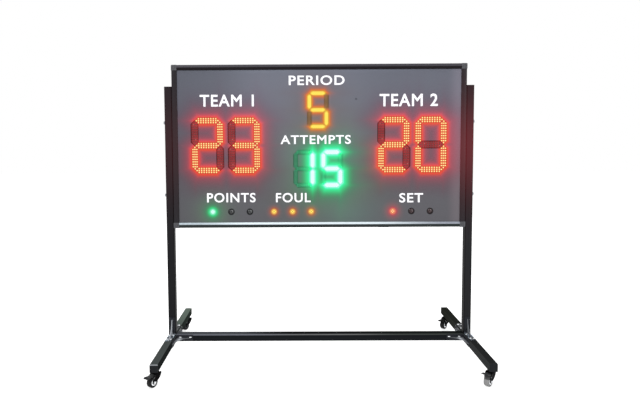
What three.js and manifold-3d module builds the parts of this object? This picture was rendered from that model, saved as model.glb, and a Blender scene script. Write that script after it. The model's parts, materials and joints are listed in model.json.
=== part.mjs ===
// Electronic scoreboard on a rolling floor stand.
// Millimetres, +Z up, front towards -Y, origin on the floor under the middle of the board.

import * as THREE from 'three';
import { mergeVertices } from 'three/addons/utils/BufferGeometryUtils.js';
import Module from 'manifold-3d';

const wasm = await Module();
wasm.setup();

// Board housing
const boardWidth = 1348;
const boardHeight = 750;
const boardBottom = 604;
const boardFront = -22;
const railDepth = 54;
const railWidth = 25;
const railWall = 2;
const noseDepth = 7;
const slotWidth = 3;
const slotFloor = 13;
const slotRib = 22;
const cornerSize = 25;
const cornerRadius = 5;
const cornerPocket = 1.6;
const cornerRib = 2.4;

// Fit between pieces that touch, and the overrun of every cut
const seat = 0.3;
const overrun = 1;

// Panels
const panelThickness = 2.4;
const windowGap = 0.6;
const rearThickness = 1.5;
const rearInset = 4;
const ventLength = 70;
const ventHeight = 5;
const ventPitch = 14;
const ventCount = 8;

// Large digits: spacing of the segments' centre lines, and the lit bar itself
const largeWidth = 116.5;
const largeHeight = 229;
const largeBar = 29;
const largePitch = 170;

// Small digits
const smallWidth = 78;
const smallHeight = 152;
const smallBar = 19;
const smallPitch = 128;

// What every digit module shares
const segmentGap = 4;
const boardMargin = 6;
const circuitThickness = 1.6;
const standoffLength = 8;
const standoffRadius = 3.5;
const barRecess = 1;

// Count lamps under the digits
const lampRadius = 15.5;
const lampPitch = 86;
const lampStripMargin = 8;
const lampDish = 4;
const lampRim = 2.5;
const ledRadius = 2.6;
const ledSpread = 5;
const ledHeight = 3;

// Electronics behind the panel
const supplyWidth = 215;
const supplyHeight = 115;
const supplyDepth = 30;
const terminalLength = 18;
const terminalDepth = 12;
const terminalRib = 2;
const terminalCount = 7;
const controlWidth = 180;
const controlHeight = 110;
const controlStandoff = 7;
const chipHeight = 3;
const connectorHeight = 9;

// Mains inlet in the lower rail
const inletWidth = 27;
const inletDepth = 20;
const inletHeight = 20;
const inletWall = 2;
const inletFlange = 3;
const inletFlangeWidth = 48;
const inletFlangeDepth = 28;
const inletBehindFront = 33;

// Places on the board: across from its middle as shares of its width, down from its top as shares of its height
const largePairShare = 0.3178;
const largeBelowShare = 0.4916;
const middleShare = -0.0037;
const upperBelowShare = 0.2769;
const lowerBelowShare = 0.6365;
const lampStripShares = [-0.3019, -0.0912, 0.3161];
const lampBelowShare = 0.9013;
const ventShare = 0.3116;
const ventBelowShare = 0.2067;
const supplyShare = 0.2226;
const controlShare = -0.1929;
const electronicsBelowShare = 0.856;
const boltBelowShares = [0.3508, 0.7974];

// Stand: one square tube for all of it
const tubeSide = 34;
const tubeWall = 2;
const tubeRadius = 2.5;
const castorHeight = 66;
const footLength = 684;
const footShift = 7;
const uprightBelowTop = 98;
const plugFlange = 2.5;
const plugDepth = 12;
const plugWall = 2;
const plugFit = 0.4;

// Bolts that hold the board between the uprights
const boltRadius = 4;
const boltHole = 4.3;
const boltHeadRadius = 7.5;
const boltHeadHeight = 5.3;
const washerRadius = 9;
const washerThickness = 1.6;
const nutHeight = 6.5;

// Corner braces
const braceLeg = 80;
const braceWidth = 28;
const braceThickness = 3;
const braceWeb = 4;
const braceRound = 5;
const braceHollowShare = 0.12;

// Castors
const wheelRadius = 22;
const wheelWidth = 21;
const wheelSides = 16;
const hubRadius = 9;
const tyreInner = 16;
const webWidth = 12;
const tyreCrown = 15;
const axleRadius = 3;
const axleCapRadius = 5.5;
const axleCapHeight = 2.5;
const trail = 20;
const runningGap = 0.3;
const forkSideGap = 1.2;
const forkPlate = 3;
const forkTop = 57;
const forkBack = 17;
const crownThickness = 4;
const crownRadius = 15;
const axleBoss = 7;
const kingpinRadius = 4;
const rivetRadius = 6.5;
const rivetHeight = 3.4;
const collarRadius = 13;
const stemRadius = 5;
const stemNutRadius = 9;
const stemNutHeight = 8;
const castorInset = 31;

// Brake pedals
const pedalBack = 17;
const pedalHeight = 49;
const pedalPin = 2;
const pedalBarrel = 3.6;
const pedalReach = 40;
const pedalArm = 3;
const pedalPadWidth = 30;
const pedalPadLength = 19;
const pedalLobe = 5;
const pedalLip = 3.5;
const pedalRaised = 15;
const pedalTravel = 17;
const shoeOffset = 9;
const shoeLength = 6;
const shoeGap = 0.7;

// Where each castor points at rest, and whether its brake is pressed
const castorPlaces = [
  { name: 'front_left', side: -1, end: -1, turned: 32, braked: true },
  { name: 'front_right', side: 1, end: -1, turned: 47, braked: false },
  { name: 'rear_left', side: -1, end: 1, turned: 30, braked: true },
  { name: 'rear_right', side: 1, end: 1, turned: 46, braked: true },
];

// Worked out from the sizes above
const boardTop = boardBottom + boardHeight;
const boardMiddle = boardBottom + boardHeight / 2;
const railBack = boardFront + railDepth;
const panelFace = boardFront + noseDepth + seat;
const panelBack = panelFace + panelThickness;
const circuitFace = panelBack + standoffLength;
const footBottom = castorHeight;
const footTop = castorHeight + tubeSide;
const legX = boardWidth / 2 + seat + tubeSide / 2;
const footInside = legX - tubeSide / 2;
const tubeHalf = tubeSide / 2;
const uprightTop = boardTop - uprightBelowTop;
const largePairX = largePairShare * boardWidth;
const largeBelowTop = largeBelowShare * boardHeight;
const middleX = middleShare * boardWidth;
const upperBelowTop = upperBelowShare * boardHeight;
const lowerBelowTop = lowerBelowShare * boardHeight;
const lampStripX = lampStripShares.map((share) => share * boardWidth);
const lampBelowTop = lampBelowShare * boardHeight;
const ventX = ventShare * boardWidth;
const ventZ = boardHeight / 2 - ventBelowShare * boardHeight;
const supplyX = supplyShare * boardWidth;
const inletX = supplyX;
const controlX = controlShare * boardWidth;
const electronicsBelowTop = electronicsBelowShare * boardHeight;
const boltBelowTop = boltBelowShares.map((share) => share * boardHeight);

// Materials
const finishes = {
  frame: { color: 0x3b3d40, roughness: 0.42, metalness: 0.7 },
  corner: { color: 0x55585b, roughness: 0.5, metalness: 0.1 },
  panel: { color: 0x6b6b75, roughness: 0.55, metalness: 0.0 },
  rear: { color: 0x4a4b50, roughness: 0.6, metalness: 0.4 },
  red: { color: 0xd0303a, roughness: 0.4, metalness: 0.0 },
  yellow: { color: 0xe8c83c, roughness: 0.4, metalness: 0.0 },
  green: { color: 0x3ddc6a, roughness: 0.4, metalness: 0.0 },
  amber: { color: 0xe8903c, roughness: 0.4, metalness: 0.0 },
  circuit: { color: 0x1f4a35, roughness: 0.5, metalness: 0.0 },
  supply: { color: 0xb6babd, roughness: 0.4, metalness: 0.8 },
  inlet: { color: 0x151515, roughness: 0.5, metalness: 0.0 },
  tube: { color: 0x34373a, roughness: 0.45, metalness: 0.6 },
  plug: { color: 0x3c4442, roughness: 0.6, metalness: 0.0 },
  brace: { color: 0x7d8284, roughness: 0.3, metalness: 0.9 },
  bolt: { color: 0xa9adb0, roughness: 0.3, metalness: 1.0 },
  castor: { color: 0x1a1b1d, roughness: 0.5, metalness: 0.1 },
  stem: { color: 0xb8bbbd, roughness: 0.3, metalness: 1.0 },
  wheel: { color: 0x3a3c3d, roughness: 0.7, metalness: 0.0 },
  pedal: { color: 0x4b4f50, roughness: 0.5, metalness: 0.2 },
};

const board = new THREE.Group();

function named(name, geometry, finish) {
  const mesh = new THREE.Mesh(geometry, new THREE.MeshStandardMaterial(finishes[finish]));
  mesh.name = name;
  return mesh;
}

// Solids for joining and cutting

function solidOf(geometry) {
  const bare = geometry.clone();
  bare.deleteAttribute('normal');
  bare.deleteAttribute('uv');
  const merged = mergeVertices(bare);
  const vertProperties = new Float32Array(merged.attributes.position.array);
  const triVerts = new Uint32Array(merged.index.array);
  return new wasm.Manifold(new wasm.Mesh({ numProp: 3, vertProperties, triVerts }));
}

function geometryOf(solid) {
  const mesh = solid.getMesh();
  const geometry = new THREE.BufferGeometry();
  geometry.setAttribute('position', new THREE.BufferAttribute(mesh.vertProperties, 3));
  geometry.setIndex(new THREE.BufferAttribute(mesh.triVerts, 1));
  geometry.computeVertexNormals();
  return geometry;
}

function joined(geometries) {
  return geometries.map(solidOf).reduce((whole, piece) => whole.add(piece));
}

function cutFrom(solid, geometries) {
  return geometries.map(solidOf).reduce((whole, piece) => whole.subtract(piece), solid);
}

// Outlines and extrusions

function outline(points, kind = THREE.Shape) {
  return new kind(points.map(([x, y]) => new THREE.Vector2(x, y)));
}

function rectanglePoints(width, height, x = 0, y = 0) {
  return [
    [x - width / 2, y - height / 2],
    [x + width / 2, y - height / 2],
    [x + width / 2, y + height / 2],
    [x - width / 2, y + height / 2],
  ];
}

function roundedRectangle(width, height, radius) {
  const shape = new THREE.Shape();
  const right = width / 2;
  const top = height / 2;
  shape.moveTo(radius - right, -top);
  shape.lineTo(right - radius, -top);
  shape.quadraticCurveTo(right, -top, right, radius - top);
  shape.lineTo(right, top - radius);
  shape.quadraticCurveTo(right, top, right - radius, top);
  shape.lineTo(radius - right, top);
  shape.quadraticCurveTo(-right, top, -right, top - radius);
  shape.lineTo(-right, radius - top);
  shape.quadraticCurveTo(-right, -top, radius - right, -top);
  return shape;
}

function extruded(shape, depth, curveSegments = 2) {
  return new THREE.ExtrudeGeometry(shape, { depth, bevelEnabled: false, curveSegments });
}

// A flat piece drawn in X and Z that grows from its back face towards the front
function forward(shape, depth, back, curveSegments) {
  const geometry = extruded(shape, depth, curveSegments);
  return geometry.rotateX(Math.PI / 2).translate(0, back, 0);
}

function box(width, depth, height, x = 0, y = 0, z = 0) {
  return new THREE.BoxGeometry(width, depth, height).translate(x, y, z);
}

function rodX(radius, length, sides, x = 0, y = 0, z = 0) {
  const rod = new THREE.CylinderGeometry(radius, radius, length, sides);
  return rod.rotateZ(Math.PI / 2).translate(x, y, z);
}

function rodY(radius, length, sides, x = 0, y = 0, z = 0) {
  return new THREE.CylinderGeometry(radius, radius, length, sides).translate(x, y, z);
}

function rodZ(radius, length, sides, x = 0, y = 0, z = 0) {
  const rod = new THREE.CylinderGeometry(radius, radius, length, sides);
  return rod.rotateX(Math.PI / 2).translate(x, y, z);
}

// Board frame

// Section of a rail: depth from the front along x, distance in from the outer edge along y
function railSection() {
  const slotFront = noseDepth;
  const slotBack = noseDepth + slotWidth;
  const shape = new THREE.Shape();
  shape.moveTo(railDepth, 0);
  shape.lineTo(noseDepth, 0);
  shape.quadraticCurveTo(0, 0, 0, railWidth / 2);
  shape.quadraticCurveTo(0, railWidth, slotFront, railWidth);
  shape.lineTo(slotFront, slotFloor);
  shape.lineTo(slotBack, slotFloor);
  shape.lineTo(slotBack, slotRib);
  shape.lineTo(slotBack + railWall, slotRib);
  shape.lineTo(slotBack + railWall, railWall);
  shape.lineTo(railDepth - railWall, railWall);
  shape.lineTo(railDepth - railWall, railWidth);
  shape.lineTo(railDepth, railWidth);
  shape.closePath();
  return shape;
}

// A rail as it lies along the top of the board
function railGeometry(side) {
  const length = side - 2 * (cornerSize + seat);
  const geometry = extruded(railSection(), length, 5);
  const along = new THREE.Vector3(-1, 0, 0);
  const back = new THREE.Vector3(0, 1, 0);
  const inward = new THREE.Vector3(0, 0, -1);
  geometry.applyMatrix4(new THREE.Matrix4().makeBasis(back, inward, along));
  return geometry.translate(length / 2, boardFront, 0);
}

function placeRail(name, geometry, quarterTurns, reach) {
  const rail = named(name, geometry, 'frame');
  const holder = new THREE.Group();
  holder.position.z = boardMiddle;
  holder.rotation.y = quarterTurns * Math.PI / 2;
  rail.position.z = reach;
  holder.add(rail);
  board.add(holder);
}

function topRail() {
  placeRail('frame_rail_top', railGeometry(boardWidth), 0, boardHeight / 2);
}

function bottomRail() {
  const cut = box(inletWidth + 2 * seat, inletDepth + 2 * seat, railWall + 2 * overrun);
  cut.translate(-inletX, boardFront + inletBehindFront, -railWall / 2);
  const geometry = geometryOf(cutFrom(solidOf(railGeometry(boardWidth)), [cut]));
  placeRail('frame_rail_bottom', geometry, 2, boardHeight / 2);
}

function sideRail(name, quarterTurns) {
  const holes = boltBelowTop.map((below) => {
    const along = (boardHeight / 2 - below) * (quarterTurns > 0 ? -1 : 1);
    return rodZ(boltHole, railWall + 2 * overrun, 8, along, 0, -railWall / 2);
  });
  const geometry = geometryOf(cutFrom(solidOf(railGeometry(boardHeight)), holes));
  placeRail(name, geometry, quarterTurns, boardWidth / 2);
}

// Moulded corner with one rounded outer corner and crossed ribs on its face
function cornerGeometry() {
  const half = cornerSize / 2;
  const shape = new THREE.Shape();
  shape.moveTo(-half, -half);
  shape.lineTo(half, -half);
  shape.lineTo(half, half - cornerRadius);
  shape.quadraticCurveTo(half, half, half - cornerRadius, half);
  shape.lineTo(-half, half);
  shape.closePath();
  const block = solidOf(forward(shape, railDepth, railDepth + boardFront, 4));
  const tip = cornerRib;
  const reach = half - 2 * cornerRib;
  const pocket = outline([[0, tip], [reach - tip, reach], [tip - reach, reach]]);
  const pockets = [0, 1, 2, 3].map((turn) => {
    const cut = forward(pocket, cornerPocket + overrun, boardFront + cornerPocket);
    return cut.rotateY(turn * Math.PI / 2);
  });
  return geometryOf(cutFrom(block, pockets));
}

function cornerBlocks() {
  const places = [
    ['corner_block_top_right', 1, 1, 0],
    ['corner_block_bottom_right', 1, -1, 1],
    ['corner_block_bottom_left', -1, -1, 2],
    ['corner_block_top_left', -1, 1, 3],
  ];
  for (const [name, side, up, turns] of places) {
    const block = named(name, cornerGeometry(), 'corner');
    block.rotation.y = turns * Math.PI / 2;
    block.position.x = side * (boardWidth - cornerSize) / 2;
    block.position.z = boardMiddle + up * (boardHeight - cornerSize) / 2;
    board.add(block);
  }
}

// Digits

const largeDigit = { width: largeWidth, height: largeHeight, bar: largeBar };
const smallDigit = { width: smallWidth, height: smallHeight, bar: smallBar };

const digitPlaces = [
  { name: 'left_tens', digit: largeDigit, x: -largePairX - largePitch / 2, below: largeBelowTop, finish: 'red' },
  { name: 'left_units', digit: largeDigit, x: largePitch / 2 - largePairX, below: largeBelowTop, finish: 'red' },
  { name: 'right_tens', digit: largeDigit, x: largePairX - largePitch / 2, below: largeBelowTop, finish: 'red' },
  { name: 'right_units', digit: largeDigit, x: largePairX + largePitch / 2, below: largeBelowTop, finish: 'red' },
  { name: 'upper', digit: smallDigit, x: middleX, below: upperBelowTop, finish: 'yellow' },
  { name: 'lower_tens', digit: smallDigit, x: middleX - smallPitch / 2, below: lowerBelowTop, finish: 'green' },
  { name: 'lower_units', digit: smallDigit, x: middleX + smallPitch / 2, below: lowerBelowTop, finish: 'green' },
];

// The seven segments of a digit: their middles, directions and lengths
function segmentsOf({ width, height }) {
  const level = width - segmentGap;
  const upright = height / 2 - segmentGap;
  return [
    { x: 0, z: height / 2, length: level, standing: false },
    { x: 0, z: 0, length: level, standing: false },
    { x: 0, z: -height / 2, length: level, standing: false },
    { x: -width / 2, z: height / 4, length: upright, standing: true },
    { x: width / 2, z: height / 4, length: upright, standing: true },
    { x: -width / 2, z: -height / 4, length: upright, standing: true },
    { x: width / 2, z: -height / 4, length: upright, standing: true },
  ];
}

// Pointed bar outline, grown all round by the given amount
function segmentPoints({ x, z, length, standing }, bar, grown) {
  const half = bar / 2 + grown;
  const tip = length / 2 + grown * Math.SQRT2;
  const points = [
    [-tip, 0],
    [half - tip, -half],
    [tip - half, -half],
    [tip, 0],
    [tip - half, half],
    [half - tip, half],
  ];
  return points.map(([along, across]) => (standing ? [x - across, z + along] : [x + along, z + across]));
}

// Circuit board, seven light bars and four standoffs in one module
function digitGeometry(digit) {
  const width = digit.width + digit.bar + 2 * boardMargin;
  const height = digit.height + digit.bar + 2 * boardMargin;
  const back = circuitFace + circuitThickness;
  const circuit = box(width, circuitThickness, height, 0, back - circuitThickness / 2, 0);
  const barDepth = back - panelFace - barRecess;
  const bars = segmentsOf(digit).map((segment) => {
    return forward(outline(segmentPoints(segment, digit.bar, 0)), barDepth, back);
  });
  const postLength = back - panelBack - seat;
  const postX = width / 2 - standoffRadius;
  const postZ = height / 2 - standoffRadius;
  const posts = [[-1, -1], [1, -1], [1, 1], [-1, 1]].map(([side, up]) => {
    return rodY(standoffRadius, postLength, 6, side * postX, back - postLength / 2, up * postZ);
  });
  return geometryOf(joined([circuit, ...bars, ...posts]));
}

function digitModules() {
  for (const { name, digit, x, below, finish } of digitPlaces) {
    const module = named(`digit_${name}`, digitGeometry(digit), finish);
    module.position.set(x, 0, boardTop - below);
    board.add(module);
  }
}

// Count lamps

function ledPlaces() {
  return [[0, ledSpread], [0, -ledSpread], [ledSpread, 0], [-ledSpread, 0]];
}

// A round housing with a dished face and four light-emitting diodes in it
function lampPieces(x) {
  const back = circuitFace + circuitThickness;
  const face = panelFace + barRecess;
  const floor = face + lampDish;
  const radius = lampRadius - windowGap;
  const cup = new THREE.LatheGeometry([
    new THREE.Vector2(0, -back),
    new THREE.Vector2(radius, -back),
    new THREE.Vector2(radius, -face),
    new THREE.Vector2(radius - lampRim, -face),
    new THREE.Vector2(radius - 2 * lampRim, -floor),
    new THREE.Vector2(0, -floor),
  ], 9);
  cup.rotateX(Math.PI).translate(x, 0, 0);
  const leds = ledPlaces().map(([across, up]) => {
    const led = new THREE.CylinderGeometry(ledRadius, ledRadius / 2, ledHeight + overrun, 5);
    return led.translate(x + across, floor - (ledHeight - overrun) / 2, up);
  });
  return [cup, ...leds];
}

function lampStripGeometry() {
  const back = circuitFace + circuitThickness;
  const width = 2 * (lampPitch + lampRadius + lampStripMargin);
  const height = 2 * (lampRadius + lampStripMargin);
  const circuit = box(width, circuitThickness, height, 0, back - circuitThickness / 2, 0);
  const lamps = [-lampPitch, 0, lampPitch].flatMap(lampPieces);
  const postLength = back - panelBack - seat;
  const posts = [-1, 1].map((side) => {
    return rodY(standoffRadius, postLength, 6, side * lampPitch / 2, back - postLength / 2, 0);
  });
  return geometryOf(joined([circuit, ...lamps, ...posts]));
}

function lampStrips() {
  const kinds = [['left', 'green'], ['middle', 'amber'], ['right', 'red']];
  kinds.forEach(([name, finish], index) => {
    const strip = named(`lamp_strip_${name}`, lampStripGeometry(), finish);
    strip.position.set(lampStripX[index], 0, boardTop - lampBelowTop);
    board.add(strip);
  });
}

// Panels

// The front sheet stands in the rails' slots and is notched round the corner blocks
function frontOutline() {
  const right = boardWidth / 2 - slotFloor - seat;
  const top = boardHeight / 2 - slotFloor - seat;
  const innerRight = boardWidth / 2 - cornerSize - seat;
  const innerTop = boardHeight / 2 - cornerSize - seat;
  return outline([
    [-innerRight, -top], [innerRight, -top], [innerRight, -innerTop], [right, -innerTop],
    [right, innerTop], [innerRight, innerTop], [innerRight, top], [-innerRight, top],
    [-innerRight, innerTop], [-right, innerTop], [-right, -innerTop], [-innerRight, -innerTop],
  ]);
}

function frontPanel() {
  const shape = frontOutline();
  for (const { digit, x, below } of digitPlaces) {
    const z = boardHeight / 2 - below;
    for (const segment of segmentsOf(digit)) {
      const placed = { ...segment, x: segment.x + x, z: segment.z + z };
      shape.holes.push(outline(segmentPoints(placed, digit.bar, windowGap), THREE.Path));
    }
  }
  for (const stripX of lampStripX) {
    for (const step of [-1, 0, 1]) {
      const hole = new THREE.Path();
      hole.absarc(stripX + step * lampPitch, boardHeight / 2 - lampBelowTop, lampRadius, 0, 2 * Math.PI);
      shape.holes.push(outline(hole.getPoints(7).slice(0, -1).map(({ x, y }) => [x, y]), THREE.Path));
    }
  }
  const panel = named('front_panel', forward(shape, panelThickness, panelBack), 'panel');
  panel.position.z = boardMiddle;
  board.add(panel);
}

function rearPanel() {
  const back = railBack + seat + rearThickness;
  const sheet = box(boardWidth - 2 * rearInset, rearThickness, boardHeight - 2 * rearInset);
  sheet.translate(0, back - rearThickness / 2, 0);
  const vents = [];
  for (const side of [-1, 1]) {
    for (let step = 0; step < ventCount; step += 1) {
      const z = ventZ - step * ventPitch;
      vents.push(box(ventLength, rearThickness + 2 * overrun, ventHeight, side * ventX, back - rearThickness / 2, z));
    }
  }
  const panel = named('rear_panel', geometryOf(cutFrom(solidOf(sheet), vents)), 'rear');
  panel.position.z = boardMiddle;
  board.add(panel);
}

// Electronics on the inside of the rear panel

// Metal case with an open step for its screw terminals
function powerSupply() {
  const back = railBack;
  const body = solidOf(box(supplyWidth, supplyDepth, supplyHeight, 0, back - supplyDepth / 2, 0));
  const stepX = (supplyWidth - terminalLength) / 2;
  const stepY = back - supplyDepth + terminalDepth / 2;
  const step = box(terminalLength + overrun, terminalDepth, supplyHeight - 2 * terminalRib, stepX, stepY, 0);
  const pitch = (supplyHeight - 4 * terminalRib) / terminalCount;
  const ribs = [];
  for (let index = 0; index <= terminalCount; index += 1) {
    const z = (index - terminalCount / 2) * pitch;
    ribs.push(box(terminalLength - terminalRib, terminalDepth / 2 + overrun, terminalRib, stepX - terminalRib, stepY + terminalDepth / 4 + overrun / 2, z));
  }
  const solid = ribs.map(solidOf).reduce((whole, rib) => whole.add(rib), cutFrom(body, [step]));
  const supply = named('power_supply', geometryOf(solid), 'supply');
  supply.position.set(supplyX, 0, boardTop - electronicsBelowTop);
  board.add(supply);
}

function controlBoard() {
  const back = railBack;
  const face = back - controlStandoff - circuitThickness;
  const sheet = box(controlWidth, circuitThickness, controlHeight, 0, face + circuitThickness / 2, 0);
  const postX = controlWidth / 2 - 2 * standoffRadius;
  const postZ = controlHeight / 2 - 2 * standoffRadius;
  const posts = [[-1, -1], [1, -1], [1, 1], [-1, 1]].map(([side, up]) => {
    return rodY(standoffRadius, back - face, 6, side * postX, (back + face) / 2, up * postZ);
  });
  const chipSide = controlHeight / 4;
  const chips = [-1, 0, 1].map((step) => {
    return box(chipSide, chipHeight + circuitThickness, chipSide, step * controlWidth / 4, face - (chipHeight - circuitThickness) / 2, 0);
  });
  const connectorWidth = controlWidth / 6;
  const connectors = [-1, 0, 1].map((step) => {
    return box(connectorWidth, connectorHeight + circuitThickness, connectorHeight, step * controlWidth / 4, face - (connectorHeight - circuitThickness) / 2, controlHeight / 2 - connectorHeight);
  });
  const control = named('control_board', geometryOf(joined([sheet, ...posts, ...chips, ...connectors])), 'circuit');
  control.position.set(controlX, 0, boardTop - electronicsBelowTop);
  board.add(control);
}

// Socket for a mains lead, pushed up through the lower rail and open downwards
function powerInlet() {
  const flange = extruded(roundedRectangle(inletFlangeWidth, inletFlangeDepth, inletWall * 2), inletFlange);
  const body = box(inletWidth, inletDepth, inletHeight + inletFlange, 0, 0, (inletHeight + inletFlange) / 2);
  const cavityWidth = inletWidth - 2 * inletWall;
  const cavityDepth = inletDepth - 2 * inletWall;
  const cavity = box(cavityWidth, cavityDepth, inletHeight + inletFlange - inletWall + overrun);
  cavity.translate(0, 0, (inletHeight + inletFlange - inletWall - overrun) / 2);
  const inlet = named('power_inlet', geometryOf(cutFrom(joined([flange, body]), [cavity])), 'inlet');
  inlet.position.set(inletX, boardFront + inletBehindFront, boardBottom - seat - inletFlange);
  board.add(inlet);
}

// Stand

function tubeSection() {
  const shape = roundedRectangle(tubeSide, tubeSide, tubeRadius);
  const inside = tubeSide - 2 * tubeWall;
  shape.holes.push(outline(rectanglePoints(inside, inside), THREE.Path));
  return shape;
}

// Capped at the top, open where it stands on its foot
function upright(name, side) {
  const bottom = footTop + seat;
  const length = uprightTop - bottom;
  const inside = tubeSide - 2 * tubeWall;
  const outer = extruded(roundedRectangle(tubeSide, tubeSide, tubeRadius), length);
  const hollow = box(inside, inside, length - tubeWall + overrun);
  hollow.translate(0, 0, (length - tubeWall - overrun) / 2);
  const holes = boltBelowTop.map((below) => {
    return rodX(boltHole, tubeSide + 2 * overrun, 8, 0, 0, boardTop - below - bottom);
  });
  const post = named(name, geometryOf(cutFrom(solidOf(outer), [hollow, ...holes])), 'tube');
  post.position.set(side * legX, 0, bottom);
  board.add(post);
}

function footCentre(end) {
  return footShift + end * (footLength / 2 - castorInset);
}

function foot(name, side) {
  const length = footLength - 2 * (plugFlange + seat);
  const tube = extruded(tubeSection(), length);
  tube.rotateX(Math.PI / 2).translate(0, length / 2, 0);
  const holes = [-1, 1].map((end) => {
    const y = footCentre(end) - footShift;
    return rodZ(stemRadius + seat, tubeWall + 2 * overrun, 10, 0, y, (tubeWall - tubeSide) / 2);
  });
  const piece = named(name, geometryOf(cutFrom(solidOf(tube), holes)), 'tube');
  piece.position.set(side * legX, footShift, footBottom + tubeHalf);
  board.add(piece);
}

// End cap with a hollow spigot inside the tube
function footPlug(name, side, end) {
  const flange = extruded(roundedRectangle(tubeSide, tubeSide, tubeRadius), plugFlange);
  const spigotSide = tubeSide - 2 * tubeWall - 2 * plugFit;
  const spigot = box(spigotSide, spigotSide, plugDepth + overrun, 0, 0, plugFlange + (plugDepth - overrun) / 2);
  const hollowSide = spigotSide - 2 * plugWall;
  const hollow = box(hollowSide, hollowSide, plugDepth, 0, 0, plugFlange + plugDepth / 2 + overrun);
  const plug = named(name, geometryOf(cutFrom(joined([flange, spigot]), [hollow])), 'plug');
  plug.rotation.x = end * Math.PI / 2;
  plug.position.set(side * legX, footShift + end * footLength / 2, footBottom + tubeHalf);
  board.add(plug);
}

function crossBar() {
  const length = 2 * (footInside - seat);
  const bar = named('cross_bar', extruded(tubeSection(), length), 'tube');
  bar.rotation.y = Math.PI / 2;
  bar.position.set(-length / 2, 0, footBottom + tubeHalf);
  board.add(bar);
}

// Hexagon bolt with washer and nut, through an upright into the board's side rail
function boardBolt(name, side, below) {
  const outside = legX + tubeHalf + seat;
  const inside = boardWidth / 2 - railWall - seat;
  const grip = outside - inside;
  const washer = rodX(washerRadius, washerThickness, 10, washerThickness / 2);
  const head = rodX(boltHeadRadius, boltHeadHeight + overrun, 6, washerThickness + (boltHeadHeight - overrun) / 2);
  const shankLength = grip + nutHeight + overrun;
  const shank = rodX(boltRadius, shankLength + overrun, 8, (overrun - shankLength) / 2);
  const nut = rodX(boltHeadRadius, nutHeight, 6, -grip - nutHeight / 2);
  const bolt = named(name, geometryOf(joined([washer, head, shank, nut])), 'bolt');
  bolt.rotation.z = side > 0 ? 0 : Math.PI;
  bolt.position.set(side * outside, 0, boardTop - below);
  board.add(bolt);
}

// Angle with rounded leg ends and a three-cornered web between its legs
function braceGeometry() {
  const end = braceLeg - braceRound;
  const angle = new THREE.Shape();
  angle.moveTo(0, 0);
  angle.lineTo(braceLeg, 0);
  angle.lineTo(braceLeg, braceThickness / 2);
  angle.lineTo(braceLeg - braceThickness, braceThickness);
  angle.lineTo(2 * braceThickness, braceThickness);
  angle.quadraticCurveTo(braceThickness, braceThickness, braceThickness, 2 * braceThickness);
  angle.lineTo(braceThickness, braceLeg - braceThickness);
  angle.lineTo(braceThickness / 2, braceLeg);
  angle.lineTo(0, braceLeg);
  angle.closePath();
  const plates = solidOf(extruded(angle, braceWidth).translate(0, 0, -braceWidth / 2));
  const web = new THREE.Shape();
  web.moveTo(braceThickness / 2, braceThickness / 2);
  web.lineTo(end, braceThickness / 2);
  web.lineTo(end, braceThickness);
  web.quadraticCurveTo(end * braceHollowShare, end * braceHollowShare, braceThickness, end);
  web.lineTo(braceThickness / 2, end);
  web.closePath();
  const rib = solidOf(extruded(web, braceWeb, 5).translate(0, 0, -braceWeb / 2));
  return geometryOf(plates.add(rib));
}

function brace(name, corner, firstLeg, secondLeg) {
  const piece = named(name, braceGeometry(), 'brace');
  const basis = new THREE.Matrix4();
  basis.makeBasis(firstLeg, secondLeg, firstLeg.clone().cross(secondLeg));
  piece.quaternion.setFromRotationMatrix(basis);
  piece.position.copy(corner);
  board.add(piece);
}

function braces() {
  const up = new THREE.Vector3(0, 0, 1);
  for (const [sideName, side] of [['left', -1], ['right', 1]]) {
    for (const [endName, end] of [['front', -1], ['rear', 1]]) {
      const away = new THREE.Vector3(0, end, 0);
      const inward = new THREE.Vector3(-side, 0, 0);
      const faceY = end * (tubeHalf + seat);
      const upper = new THREE.Vector3(side * legX, faceY, footTop + seat);
      const lower = new THREE.Vector3(side * (footInside - seat), faceY, footBottom + tubeHalf);
      brace(`brace_upright_${sideName}_${endName}`, upper, away, up);
      brace(`brace_bar_${sideName}_${endName}`, lower, inward, away);
    }
  }
}

// Castors, drawn with the floor at zero height and the kingpin on the Z axis

// Threaded stem with its nut, collar and riveted kingpin
function stemGeometry() {
  const nutBottom = castorHeight + tubeWall + seat;
  const nutTop = nutBottom + stemNutHeight;
  const crownBottom = forkTop - crownThickness;
  const profile = [
    [0, crownBottom - seat - rivetHeight],
    [kingpinRadius, crownBottom - seat - rivetHeight],
    [rivetRadius, crownBottom - seat - rivetHeight / 2],
    [rivetRadius, crownBottom - seat],
    [kingpinRadius, crownBottom - seat],
    [kingpinRadius, forkTop + seat],
    [collarRadius, forkTop + seat],
    [collarRadius, castorHeight - seat],
    [stemRadius, castorHeight - seat],
    [stemRadius, nutTop + overrun],
    [0, nutTop + overrun],
  ];
  const turned = new THREE.LatheGeometry(profile.map(([r, z]) => new THREE.Vector2(r, z)), 9);
  turned.rotateX(Math.PI / 2);
  const nut = rodZ(stemNutRadius, stemNutHeight, 6, 0, 0, nutBottom + stemNutHeight / 2);
  return geometryOf(joined([turned, nut]));
}

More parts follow.
